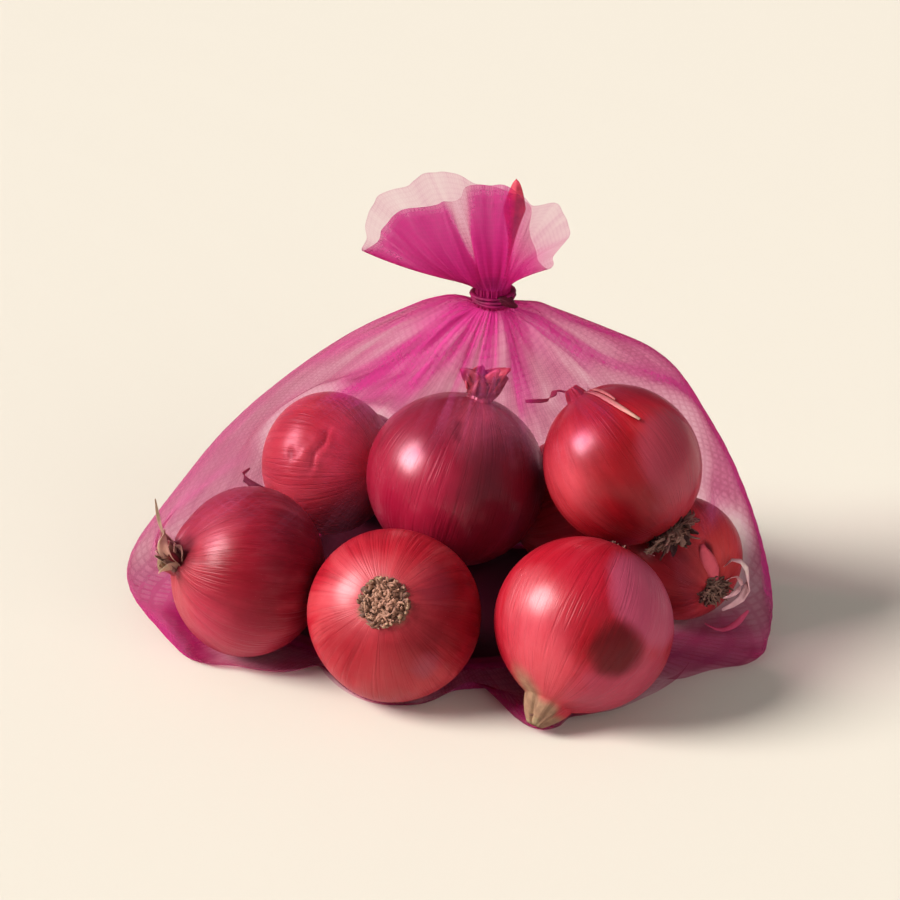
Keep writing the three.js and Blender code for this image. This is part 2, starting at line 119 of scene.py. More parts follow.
# Each onion: how much it shines next to the others, the radius of its root plate, its place, its
# radius across and from root to neck, where its neck points, the size and kind of its neck, how far
# that leans, how pale its poles are and its colours. Its patches are places on its skin, their
# radius and soft edge in degrees, their colour and how strong they are. Besides marks of its own
# skin, the patches hold painted light and shade: paler skin on the sides turned to the key light,
# dark skin on the sides turned away from it and between the onions, and on two onions darker skin
# under the highlight.
ONIONS = {
    "left_low": dict(
        shine=0.6, root=6.0, at=(-78.5, 7.2, 34.6), across=34.0, along=29.4, neck=(-0.93, -0.25, 0.27),
        neck_radius=5.6, neck_length=5.0, end="open", lean=(0.5, 0.0, 4.5), pole=0.35,
        red=(0.288, 0.01, 0.025), deep=(0.144, 0.002, 0.008), pale=(0.446, 0.08, 0.094), skin_and_shade_patches=(
            (seen(-0.25, -0.78), 36, 22, (0.47, 0.055, 0.095), 0.75),
            (seen(-0.85, -0.42), 16, 15, (0.446, 0.1, 0.099), 0.6),
            (seen(-0.30, 0.60), 16, 15, (0.46, 0.09, 0.11), 0.65),
            (seen(0.12, -0.15), 30, 26, (0.140, 0.001, 0.006), 0.85),
            # painted shade: dark skin on the right side, turned away from the key light
            (seen(0.82, 0.1), 38, 25, (0.086, 0.003, 0.008), 0.85),
            # painted shade: near black in the hollow beside the neck
            (seen(-0.79, 0.24), 11, 9, (0.030, 0.002, 0.004), 0.95))),
    "middle_low": dict(
        shine=0.75, root=9.2, at=(-21.2, -21.1, 32.5), across=33.6, along=28.8, neck=(0.11, 0.75, -0.65),
        neck_radius=4.0, neck_length=3.0, end="closed", lean=(0, 0, 0), pole=0.5,
        red=(0.403, 0.013, 0.025), deep=(0.18, 0.003, 0.008), pale=(0.518, 0.085, 0.088), skin_and_shade_patches=(
            (seen(-0.12, 0.14), 24, 22, (0.40, 0.035, 0.045), 0.7),
            # painted light: paler skin on the upper left, turned to the key light
            (seen(-0.5, 0.3), 24, 20, (0.562, 0.12, 0.14), 0.5),
            (seen(0.15, -0.42), 18, 14, (0.144, 0.002, 0.006), 0.85),
            (seen(-0.60, -0.34), 22, 16, (0.21, 0.004, 0.010), 0.85),
            # painted shade: dark skin on the right side, turned away from the key light
            (seen(0.78, 0.05), 36, 25, (0.100, 0.001, 0.003), 0.9),
            (seen(0.52, 0.40), 12, 12, (0.202, 0.025, 0.044), 0.5),
            (seen(0.0, -0.8), 26, 16, (0.36, 0.055, 0.055), 0.7),
            (seen(0.4, -0.55), 8, 8, (0.274, 0.065, 0.094), 0.6))),
    "right_low": dict(
        husk=(0.46, 0.34, 0.18), root=3.5, at=(50.3, -30.1, 34.1), across=34.5, along=32.3,
        neck=(-0.42, -0.58, -0.69),
        neck_radius=8.8, neck_length=9.5, end="papery", lean=(-1.5, -0.5, 0.3), pole=0.4,
        red=(0.39, 0.008, 0.020), deep=(0.20, 0.002, 0.008), pale=(0.46, 0.05, 0.068), skin_and_shade_patches=(
            # painted light: paler skin on the left side, turned to the key light
            (seen(-0.62, -0.05), 26, 20, (0.50, 0.09, 0.11), 0.6),
            (seen(-0.5, -0.5), 24, 18, (0.547, 0.09, 0.099), 0.6),
            # painted light: paler skin round the highlight, on the side turned to the key light
            (seen(-0.68, 0.40), 16, 14, (0.52, 0.12, 0.13), 0.6),
            (seen(0.1, 0.45), 30, 20, (0.30, 0.004, 0.018), 0.75),
            # painted shade: darker skin in the middle, where the light falls off towards the right
            (seen(0.05, 0.0), 20, 18, (0.22, 0.005, 0.012), 0.75),
            (seen(0.74, 0.34), 34, 7, (0.44, 0.085, 0.15), 0.9),
            (seen(0.42, -0.70), 34, 12, (0.37, 0.055, 0.095), 0.8),
            (seen(0.10, -0.16), 15, 10, (0.22, 0.001, 0.004), 0.85),
            (seen(0.31, -0.22), 18, 6, (0.055, 0.001, 0.001), 0.98))),
    "left_high": dict(
        shine=0.7, root=6.0, at=(-49.5, 69.2, 49.2), across=29.8, along=25.8, neck=(0.83, -0.52, 0.17),
        neck_radius=4.0, neck_length=4.0, end="closed", lean=(0, 0, 0), pole=0.3,
        red=(0.425, 0.022, 0.036), deep=(0.23, 0.005, 0.012), pale=(0.578, 0.105, 0.111), skin_and_shade_patches=(
            # painted light: paler skin on the left side, turned to the key light
            (seen(-0.6, 0.1), 30, 25, (0.46, 0.078, 0.098), 0.6),
            (seen(-0.2, 0.05), 14, 12, (0.50, 0.10, 0.12), 0.5),
            # painted light: a bright pink patch on the right side, which faces away from the key light
            (seen(0.62, 0.12), 36, 25, (0.80, 0.09, 0.16), 0.85),
            # painted shade: dark skin on the lower right, turned away from the light
            (seen(0.45, -0.75), 24, 22, (0.22, 0.008, 0.02), 0.8))),
    "middle_high": dict(
        shine=2.4, root=6.0, at=(2.4, 36.4, 59.7), across=36.3, along=33.9, neck=(0.27, 0.2, 0.94),
        neck_radius=4.6, neck_length=8.0, end="closed", lean=(0, 0, 0), pole=0.2,
        red=(0.259, 0.008, 0.029), deep=(0.115, 0.002, 0.01), pale=(0.346, 0.025, 0.055), skin_and_shade_patches=(
            # painted light: lighter skin on the left side, turned to the key light
            (seen(-0.62, 0.0), 38, 25, (0.34, 0.006, 0.041), 0.6),
            (seen(-0.05, 0.7), 26, 20, (0.17, 0.003, 0.022), 0.7),
            # darker skin where the soft box's highlight falls, so that the highlight shows whiter
            (seen(-0.50, 0.40), 12, 12, (0.22, 0.02, 0.04), 0.7),
            (seen(0.42, 0.54), 26, 16, (0.48, 0.13, 0.16), 0.85),
            # painted shade: dark skin on the lower part, over the onions below
            (seen(0.15, -0.62), 24, 18, (0.115, 0.003, 0.008), 0.6),
            # painted shade: near black skin on the right half, past the edge of the key light
            (seen(0.66, -0.1), 40, 16, (0.061, 0.003, 0.007), 0.92))),
    "right_high": dict(
        shine=2.4, root=7.0, at=(66.3, 19.0, 75.4), across=30.8, along=31.2, neck=(-0.56, 0.39, 0.73),
        neck_radius=3.8, neck_length=4.5, end="closed", lean=(0, 0, 0), pole=0.3,
        red=(0.446, 0.01, 0.019), deep=(0.245, 0.002, 0.007), pale=(0.518, 0.065, 0.072), skin_and_shade_patches=(
            # painted light: paler skin on the left side, turned to the key light
            (seen(-0.70, -0.1), 30, 22, (0.60, 0.12, 0.13), 0.7),
            # darker skin where the soft box's highlight falls, so that the highlight shows whiter
            (seen(-0.52, 0.18), 13, 12, (0.30, 0.05, 0.05), 0.8),
            # painted shade: dark skin in the middle, where the key light falls off
            (seen(0.10, -0.12), 34, 18, (0.19, 0.0008, 0.002), 0.95),
            (seen(0.66, 0.15), 34, 7, (0.302, 0.043, 0.066), 0.85),
            (seen(0.1, 0.85), 16, 14, (0.324, 0.03, 0.041), 0.5),
            # painted shade: dark skin on the lower part, turned away from the light
            (seen(0.0, -0.80), 32, 25, (0.125, 0.001, 0.003), 0.9),
            (seen(0.64, -0.40), 16, 14, (0.36, 0.045, 0.07), 0.6))),
    "right_back": dict(
        root=6.0, at=(92.0, 32.4, 26.2), across=25.6, along=24.0, neck=(-0.507, 0.851, 0.149),
        neck_radius=3.4, neck_length=4.0, end="closed", lean=(0, 0, 0), pole=0.25,
        red=(0.473, 0.034, 0.038), deep=(0.189, 0.004, 0.009), pale=(0.651, 0.093, 0.09), skin_and_shade_patches=(
            (seen(0.6, 0.2), 34, 20, (0.609, 0.068, 0.056), 0.7),
            # painted shade: dark skin on the lower left, in the shade between the onions
            (seen(-0.45, -0.3), 42, 18, (0.126, 0.005, 0.009), 0.85))),
    "back_middle": dict(
        root=6.0, at=(2.1, 89.3, 26.8), across=26.3, along=24.2, neck=(0.0, -0.96, -0.29),
        neck_radius=3.6, neck_length=4.0, end="closed", lean=(0, 0, 0), pole=0.5,
        red=(0.36, 0.01, 0.028), deep=(0.158, 0.002, 0.009), pale=(0.49, 0.07, 0.077), skin_and_shade_patches=(
            ((-0.6, 0.7, 0.3), 34, 14, (0.324, 0.055, 0.088), 0.7),
            ((0.5, 0.5, 0.7), 22, 18, (0.158, 0.002, 0.007), 0.7))),
    "back_right": dict(
        root=6.0, at=(51.9, 67.3, 30.2), across=29.6, along=27.2, neck=(0.94, 0.19, 0.28),
        neck_radius=4.4, neck_length=3.5, end="open", lean=(0, 0, 0), pole=0.35,
        red=(0.389, 0.011, 0.025), deep=(0.173, 0.002, 0.009), pale=(0.504, 0.075, 0.083), skin_and_shade_patches=(
            ((-0.2, 0.9, 0.3), 34, 12, (0.302, 0.05, 0.083), 0.75),
            ((0.4, 0.8, -0.3), 22, 18, (0.158, 0.002, 0.007), 0.7))),
    "back_left": dict(
        root=6.0, at=(-39.6, 115.2, 24.0), across=23.6, along=22.0, neck=(-0.61, 0.61, 0.51),
        neck_radius=3.6, neck_length=4.5, end="open", lean=(0, 0, 0), pole=0.35,
        red=(0.302, 0.01, 0.033), deep=(0.13, 0.002, 0.012), pale=(0.432, 0.055, 0.072), skin_and_shade_patches=(
            ((0.5, 0.8, 0.2), 30, 14, (0.331, 0.05, 0.077), 0.7),
            ((-0.5, 0.5, -0.6), 26, 18, (0.115, 0.002, 0.007), 0.7))),
}

# Creases and splits in the skin: the onion, the place, which way it runs, its length, width and
# depth in millimetres. A depth under 0 is a raised lip. Each groove is also painted darker, as
# painted shade, and each lip paler, as painted light.
CREASES = (
    ("left_high", seen(-0.10, 0.20), towards(-0.45, -0.9, 0), 27.0, 1.3, 0.55),
    ("left_high", seen(-0.02, 0.17), towards(-0.45, -0.9, 0), 24.0, 1.4, -0.35),
    ("left_high", seen(-0.22, 0.22), towards(-0.5, -0.87, 0), 18.0, 1.6, -0.30),
    ("left_high", seen(-0.47, 0.12), towards(0.5, -0.85, 0), 8.0, 1.8, 0.45),
    ("left_high", seen(-0.36, 0.05), towards(-0.7, -0.7, 0), 12.0, 1.8, -0.3),
    ("right_back", seen(0.44, 0.03), towards(0.50, -0.86, 0), 22.0, 1.5, 1.1),
    ("right_back", seen(0.56, 0.05), towards(0.50, -0.86, 0), 18.0, 1.4, -0.45),
    ("middle_high", seen(0.02, 0.55), towards(0.05, -0.99, 0), 16.0, 2.6, 0.5),
    ("right_high", seen(0.10, 0.62), towards(0.75, -0.6, 0), 13.0, 1.3, 0.5),
    ("back_middle", (-0.5, 0.8, 0.4), (0.3, 0.2, 0.9), 20.0, 1.5, 0.6),
)

# Places where a root plate or a stiff neck holds the net off an onion: the onion, its root (-1) or
# neck (1), the pad's radius and how far it stands out.
PADS = (
    ("middle_low", -1, 10.5, 3.4), ("back_middle", -1, 7.0, 2.6), ("back_right", 1, 4.0, 6.5),
    ("back_left", 1, 4.0, 8.0),
)

# Folds of the net that run down from its neck: places along each as the share of the way down and
# the turn round the neck (0 right, 0.25 back, 0.5 left, 0.75 front), its width in millimetres, its
# strength and the share of its length from which it fades.
FOLDS = (
    (((0.013, 0.530), (0.047, 0.512), (0.101, 0.507), (0.195, 0.493), (0.302, 0.487)), 4.5, 1.5, 0.6),
    (((0.027, 0.545), (0.107, 0.532), (0.188, 0.519), (0.309, 0.513), (0.43, 0.522)), 4.0, 0.9, 0.6),
    (((0.013, 0.583), (0.054, 0.573), (0.107, 0.557), (0.174, 0.547), (0.302, 0.530)), 6.5, 3.4, 0.5),
    (((0.013, 0.657), (0.054, 0.623), (0.094, 0.603), (0.141, 0.590), (0.190, 0.585)), 4.5, 2.4, 0.5),
    (((0.013, 0.690), (0.034, 0.677), (0.060, 0.670), (0.100, 0.665)), 3.5, 1.6, 0.5),
    (((0.007, 0.750), (0.030, 0.742), (0.055, 0.737), (0.075, 0.735)), 4.0, 2.4, 0.5),
    (((0.007, 0.817), (0.040, 0.827), (0.101, 0.823), (0.170, 0.820)), 5.0, 2.6, 0.5),
    (((0.007, 0.870), (0.040, 0.880), (0.080, 0.885)), 2.5, 1.3, 0.5),
    (((0.007, 0.900), (0.054, 0.932), (0.134, 0.950), (0.170, 0.955)), 3.0, 2.2, 0.5),
    (((0.007, 0.943), (0.074, 0.957), (0.141, 0.970), (0.208, 0.987), (0.289, 1.007), (0.349, 1.003),
      (0.409, 0.997), (0.456, 0.990), (0.483, 0.980), (0.503, 0.970), (0.512, 0.960)), 5.0, 2.6, 0.93),
    (((0.020, 1.053), (0.081, 1.007), (0.154, 1.013), (0.215, 1.020)), 2.6, 1.4, 0.5),
    (((0.010, 0.085), (0.060, 0.080), (0.150, 0.070), (0.290, 0.060)), 4.0, 1.1, 0.5),
    (((0.010, 0.140), (0.060, 0.135), (0.130, 0.140), (0.260, 0.150)), 5.5, 1.4, 0.5),
    (((0.010, 0.190), (0.060, 0.200), (0.140, 0.195)), 3.0, 0.75, 0.5),
    (((0.010, 0.240), (0.060, 0.245), (0.160, 0.250), (0.330, 0.245)), 6.0, 1.35, 0.5),
    (((0.010, 0.290), (0.060, 0.285), (0.120, 0.290)), 3.0, 0.7, 0.5),
    (((0.010, 0.330), (0.060, 0.335), (0.160, 0.340), (0.280, 0.350)), 5.0, 1.2, 0.5),
    (((0.010, 0.380), (0.060, 0.390), (0.130, 0.395)), 3.0, 0.8, 0.5),
    (((0.010, 0.430), (0.060, 0.425), (0.170, 0.430), (0.360, 0.440)), 5.5, 1.3, 0.5),
    (((0.010, 0.480), (0.060, 0.470), (0.140, 0.462)), 3.0, 0.7, 0.5),
)

# Places at the foot of the front where the net is tucked further in: x, y, half width and depth.
TUCKS = ((11.0, -38.0, 14.0, 15.0), (-50.0, -16.0, 9.0, 6.0), (88.0, -16.0, 12.0, -8.0))

# Where the frill stands open in front, as a turn round the neck, and how many layers of cloth it
# counts for round its edge, as pairs of turn and layers.
FRILL_GAP = 0.682
FRILL_LAYERS = (
    (0.00, 0.9), (0.06, 0.8), (0.12, 1.1), (0.20, 1.0), (0.30, 0.75), (0.43, 0.75), (0.45, 1.1), (0.47, 4.8),
    (0.51, 6.0), (0.64, 6.6), (0.70, 5.6), (0.735, 6.6), (0.77, 5.6), (0.79, 2.0), (0.82, 1.0), (0.88, 1.4),
    (0.91, 1.3), (0.94, 1.0), (1.00, 0.9),
)


def unit(v):
    v = np.asarray(v, dtype=float)
    return v / np.linalg.norm(v)


def step(value, low, high):
    """Smooth rise from 0 at low to 1 at high."""
    t = np.clip((value - low) / (high - low), 0, 1)
    return t * t * (3 - 2 * t)


def spline(points, samples, closed=False):
    """Points spread evenly along a smooth curve through the given points."""
    p = np.asarray(points, dtype=float)
    n = len(p)
    spans = n if closed else n - 1
    pick = (lambda i: p[i % n]) if closed else (lambda i: p[min(max(i, 0), n - 1)])
    fine = []
    for i in range(spans):
        a, b, c, d = pick(i - 1), pick(i), pick(i + 1), pick(i + 2)
        for t in np.linspace(0, 1, 24, endpoint=False):
            fine.append(0.5 * (2 * b + (c - a) * t + (2 * a - 5 * b + 4 * c - d) * t ** 2
                               + (3 * b - a - 3 * c + d) * t ** 3))
    fine.append(pick(spans) if closed else p[-1])
    fine = np.array(fine)
    run = np.concatenate(([0], np.cumsum(np.linalg.norm(np.diff(fine, axis=0), axis=1))))
    at = np.linspace(0, run[-1], samples)
    return np.stack([np.interp(at, run, fine[:, k]) for k in range(3)], axis=1)


def spline_length(points):
    return np.linalg.norm(np.diff(spline(points, 200), axis=0), axis=1).sum()


# ---- Form of the stretched net -------------------------------------------------------------------

class Bulges:
    """What the net is stretched over: the onions, their hard ends, its neck and its side edges."""

    def __init__(self):
        rows = [(o["at"], o["across"], o["along"], unit(o["neck"]), 0) for o in ONIONS.values()]
        self.onions = len(rows)
        up = np.array((0.0, 0.0, 1.0))
        rows += [(at, r, r, up, r) for at, r in NECK_ENDS]
        rows.append((NECK_BASE, NECK_RADIUS, NECK_RADIUS, up, 0))
        for seam in (LEFT_SEAM, RIGHT_SEAM):
            count = round(spline_length(seam) / SEAM_STEP) + 1
            rows += [(p, SEAM_RADIUS, SEAM_RADIUS, up, SEAM_STIFFNESS) for p in spline(seam, count)]
        self.centre = np.array([r[0] for r in rows], dtype=float)
        self.across = np.array([r[1] for r in rows], dtype=float)
        self.along = np.array([r[2] for r in rows], dtype=float)
        self.axis = np.array([r[3] for r in rows], dtype=float)
        self.hold = np.array([r[4] for r in rows], dtype=float)

    def reach(self, n):
        """How far the farthest bulge reaches in each direction of n."""
        c = n @ self.axis.T
        spread = np.sqrt((self.along * c) ** 2 + self.across ** 2 * (1 - c * c))
        return (n @ self.centre.T + spread).max(axis=1)

    def distance(self, i, p):
        """Distance of points from bulge i, negative inside, and the way out."""
        off = p - self.centre[i]
        length = np.linalg.norm(off, axis=1)
        c = (off @ self.axis[i]) / length
        radius = 1 / np.sqrt((c / self.along[i]) ** 2 + (1 - c * c) / self.across[i] ** 2)
        return length - radius, off / length[:, None]

    def space(self, p, count=None):
        """Free space into which the net can dip, or how far it is from the first bulges."""
        least = np.full(len(p), np.inf)
        for i in range(count or len(self.centre)):
            least = np.minimum(least, self.distance(i, p)[0] - self.hold[i])
        return np.maximum(least, 0)

    def add_pads(self):
        """Root plates and stiff necks that only the finished net passes over."""
        for name, end, across, along in PADS:
            onion = ONIONS[name]
            axis = unit(onion["neck"])
            self.centre = np.vstack((self.centre, np.array(onion["at"]) + axis * end * onion["along"] * 0.97))
            self.across = np.append(self.across, across)
            self.along = np.append(self.along, along)
            self.axis = np.vstack((self.axis, axis))
            self.hold = np.append(self.hold, 0.0)

    def keep_clear(self, p, gap):
        """Moves points of the net out of the onions."""
        for i in (*range(self.onions), *range(len(self.hold) - len(PADS), len(self.hold))):
            d, out = self.distance(i, p)
            p = p + out * np.maximum(gap - d, 0)[:, None]
        return p


def even_directions(count):
    """Unit vectors spread evenly over a ball."""
    i = np.arange(count)
    z = 1 - 2 * (i + 0.5) / count
    r = np.sqrt(1 - z * z)
    a = i * math.pi * (3 - math.sqrt(5))
    return np.stack((r * np.cos(a), r * np.sin(a), z), axis=1)


class NetForm:
    """The smooth stretched net as a map over tilt from the neck and angle round it."""

    TILTS, ANGLES = 150, 300
    DIRECTIONS, BATCH = 6000, 3000

    def __init__(self):
        self.bulges = Bulges()
        self.axis = unit(NECK_BASE - HEART)
        self.side = unit(np.array((1.0, 0, 0)) - self.axis * self.axis[0])
        self.back = np.cross(self.axis, self.side)
        self.first = math.atan2(NECK_RADIUS, np.linalg.norm(NECK_BASE - HEART))
        tilt = np.linspace(self.first, math.pi, self.TILTS)[:, None]
        angle = np.linspace(0, TAU, self.ANGLES, endpoint=False)[None, :]
        d = (np.cos(tilt)[..., None] * self.axis
             + (np.sin(tilt) * np.cos(angle))[..., None] * self.side
             + (np.sin(tilt) * np.sin(angle))[..., None] * self.back).reshape(-1, 3)
        tight = HEART + d * self.tight_reach(d)[:, None]
        high = step(tight[:, 2], 0, TUCK_HEIGHT)
        space = self.bulges.space(tight)
        dip = DIP_DEPTH * np.tanh(DIP_SHARE * space / DIP_DEPTH) * high
        tuck = TUCK_DEPTH * np.tanh(TUCK_SHARE * space / TUCK_DEPTH) * (1 - high)
        p = tight - d * dip[:, None] - d * (1, 1, 0) * tuck[:, None]
        self.bulges.add_pads()
        p = self.bulges.keep_clear(p, FLOOR_GAP).reshape(self.TILTS, self.ANGLES, 3)
        for _ in range(2):
            p = 0.5 * p + 0.125 * (np.roll(p, 1, 1) + np.roll(p, -1, 1)
                                   + np.concatenate((p[:1], p[:-1])) + np.concatenate((p[1:], p[-1:])))
        p[..., 2] = np.maximum(p[..., 2], 0)
        self.points = p

    def tight_reach(self, d):
        """How far a tight net is from HEART in each direction d; its last side is the floor."""
        n = np.vstack((even_directions(self.DIRECTIONS), (0, 0, -1))).astype(np.float32)
        room = self.bulges.reach(n.astype(float)) + FLOOR_GAP - n @ HEART
        room[-1] = HEART[2]
        out = np.empty(len(d))
        for s in range(0, len(d), self.BATCH):
            c = d[s:s + self.BATCH].astype(np.float32) @ n.T
            out[s:s + self.BATCH] = np.where(c > 1e-3, room / np.maximum(c, 1e-3), 1e9).min(axis=1)
        return out

    def at(self, share, angle):
        """Points of the net at shares of the way from neck to bottom and angles in turns."""
        r = np.clip(share, 0, 1) * (self.TILTS - 1)
        c = (angle % 1.0) * self.ANGLES
        r0 = np.minimum(r.astype(int), self.TILTS - 2)
        c0 = c.astype(int) % self.ANGLES
        c1 = (c0 + 1) % self.ANGLES
        fr, fc = (r - r0)[:, None], (c - np.floor(c))[:, None]
        p = self.points
        return ((p[r0, c0] * (1 - fc) + p[r0, c1] * fc) * (1 - fr)
                + (p[r0 + 1, c0] * (1 - fc) + p[r0 + 1, c1] * fc) * fr)


FORM = NetForm()
BAG_LOW, BAG_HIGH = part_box("net_bag")
SHIFT = np.array(((BAG_LOW[0] + BAG_HIGH[0]) / 2, (BAG_LOW[1] + BAG_HIGH[1]) / 2, 0)) / MM - HEAP_MIDDLE


# ---- Mesh helpers ----------------------------------------------------------------------------------

# Distances under which points are merged: in millimetres at rolled seams and at an onion's poles, and
# in metres on the finished cloth.
SEAM_WELD, POLE_WELD, CLOTH_WELD = 2e-4, 1e-4, 1e-6


def place(points):
    """From the heap's millimetres to the frame's metres."""
    return (np.asarray(points, dtype=float) + SHIFT) * MM


def add_object(name, data):
    """Puts a mesh, light or camera in the scene."""
    obj = bpy.data.objects.new(name, data)
    bpy.context.scene.collection.objects.link(obj)
    return obj


def mesh_from(name, bm):
    mesh = bpy.data.meshes.new(name)
    bm.to_mesh(mesh)
    bm.free()
    return mesh


def mesh_object(name, bm):
    """Turns a bmesh into a finished object that rides on the pack."""
    mesh = mesh_from(name, bm)
    mesh.shade_smooth()
    obj = add_object(name, mesh)
    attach(obj, "root")
    return obj


def coordinates(mesh):
    flat = np.empty(len(mesh.vertices) * 3)
    mesh.vertices.foreach_get("co", flat)
    return flat.reshape(-1, 3)


def set_coordinates(mesh, points):
    mesh.vertices.foreach_set("co", np.ascontiguousarray(points, dtype=float).ravel())
    mesh.update()


def move_into_frame(obj):
    """Takes a mesh from the heap's millimetres to the frame's metres."""
    set_coordinates(obj.data, place(coordinates(obj.data)))


def weld(bm, distance):
    """Closes seams by merging what lies together, and turns the faces outwards."""
    bmesh.ops.remove_doubles(bm, verts=bm.verts, dist=distance)
    bmesh.ops.recalc_face_normals(bm, faces=bm.faces)


def store(mesh, name, values):
    """Keeps one number or one vector for each vertex as an attribute."""
    values = np.asarray(values, dtype=np.float32)
    kind = "FLOAT_VECTOR" if values.ndim == 2 else "FLOAT"
    layer = mesh.attributes.new(name, kind, "POINT")
    layer.data.foreach_set("vector" if values.ndim == 2 else "value", values.ravel())


def sweep(bm, path, widths, sides=4, lift=None, twist=0.0, flat=1.0):
    """A stalk along a path from a rolled grid, or with sides under 0 a cupped strip of that many."""
    path = [Vector(p) for p in path]
    rows, across = len(path), abs(sides) + 1
    made = bmesh.ops.create_grid(bm, x_segments=across - 1, y_segments=rows - 1, size=0.5)["verts"]
    up = Vector(lift) if lift is not None else Vector((0.13, 0.27, 0.95))
    for i, centre in enumerate(path):
        ahead = (path[min(i + 1, rows - 1)] - path[max(i - 1, 0)]).normalized()
        side = ahead.cross(up).normalized()
        side.rotate(Matrix.Rotation(twist * i / max(rows - 1, 1), 3, ahead))
        over = side.cross(ahead)
        for j in range(across):
            if sides > 0:
                a = TAU * j / sides
                off = side * math.cos(a) + over * math.sin(a) * flat
            else:
                u = 2 * j / (across - 1) - 1
                off = side * u - over * 0.35 * u * u
            made[i * across + j].co = centre + off * widths[i]


# ---- Node helpers ----------------------------------------------------------------------------------

def feed(tree, socket, value):
    """Links a socket to another, or sets its own value."""
    if isinstance(value, bpy.types.NodeSocket):
        tree.links.new(value, socket)
    elif value is not None:
        socket.default_value = value


def calc(tree, operation, a, b=None, clamp=False):
    """A Math node on sockets or numbers."""
    node = tree.nodes.new("ShaderNodeMath")
    node.operation = operation
    node.use_clamp = clamp
    for socket, value in zip(node.inputs, (a, b)):
        feed(tree, socket, value)
    return node.outputs[0]


def plus(tree, a, b, clamp=False):
    return calc(tree, "ADD", a, b, clamp=clamp)


def times(tree, a, b):
    return calc(tree, "MULTIPLY", a, b)


def vector_calc(tree, operation, a, b=None):
    node = tree.nodes.new("ShaderNodeVectorMath")
    node.operation = operation
    feed(tree, node.inputs[0], a)
    feed(tree, node.inputs[1], b)
    return node.outputs["Value" if operation in ("DOT_PRODUCT", "LENGTH") else "Vector"]


def rise(tree, value, low, high, to_low=0.0, to_high=1.0):
    """Smooth rise of a value between two ends."""
    node = tree.nodes.new("ShaderNodeMapRange")
    node.interpolation_type = "SMOOTHSTEP"
    ends = (("Value", value), ("From Min", low), ("From Max", high), ("To Min", to_low), ("To Max", to_high))
    for name, v in ends:
        feed(tree, node.inputs[name], v)
    return node.outputs["Result"]


def blend(tree, share, a, b, mode="MIX"):
    """Colour a, turned to b by a share."""
    node = tree.nodes.new("ShaderNodeMix")
    node.data_type = "RGBA"
    node.blend_type = mode
    feed(tree, node.inputs[0], share)
    feed(tree, node.inputs[6], a)
    feed(tree, node.inputs[7], b)
    return node.outputs[2]


def grain(tree, vector, scale, detail=2.0, roughness=0.5):
    """Cloudy noise."""
    node = tree.nodes.new("ShaderNodeTexNoise")
    for name, v in (("Vector", vector), ("Scale", scale), ("Detail", detail), ("Roughness", roughness)):
        feed(tree, node.inputs[name], v)
    return node.outputs["Fac"]


def combine(tree, x, y, z):
    node = tree.nodes.new("ShaderNodeCombineXYZ")
    for socket, value in zip(node.inputs, (x, y, z)):
        feed(tree, socket, value)
    return node.outputs[0]


def attribute(tree, name, output="Vector"):
    """What a piece keeps for each of its vertices."""
    node = tree.nodes.new("ShaderNodeAttribute")
    node.attribute_name = name
    return node.outputs[output]


def bump(tree, height, strength, distance):
    node = tree.nodes.new("ShaderNodeBump")
    feed(tree, node.inputs["Height"], height)
    node.inputs["Strength"].default_value = strength
    node.inputs["Distance"].default_value = distance
    return node.outputs["Normal"]


def new_group(name, inputs, outputs):
    """An empty shader node group with named sockets, each a pair of name and kind."""
    tree = bpy.data.node_groups.new(name, "ShaderNodeTree")
    for names, way in ((inputs, "INPUT"), (outputs, "OUTPUT")):
        for label, kind in names:
            tree.interface.new_socket(label, in_out=way, socket_type="NodeSocket" + kind)
    return tree, tree.nodes.new("NodeGroupInput").outputs, tree.nodes.new("NodeGroupOutput").inputs


def use_group(tree, group, **values):
    node = tree.nodes.new("ShaderNodeGroup")
    node.node_tree = group
    for label, value in values.items():
        feed(tree, node.inputs[label.replace("_", " ")], value)
    return node.outputs


def new_material(name):
    material = bpy.data.materials.new(name)
    material.use_nodes = True
    return material, material.node_tree, material.node_tree.nodes["Principled BSDF"]


def rgba(colour):
    return (*colour[:3], 1.0)


# ---- Shared effects ----------------------------------------------------------------------------------

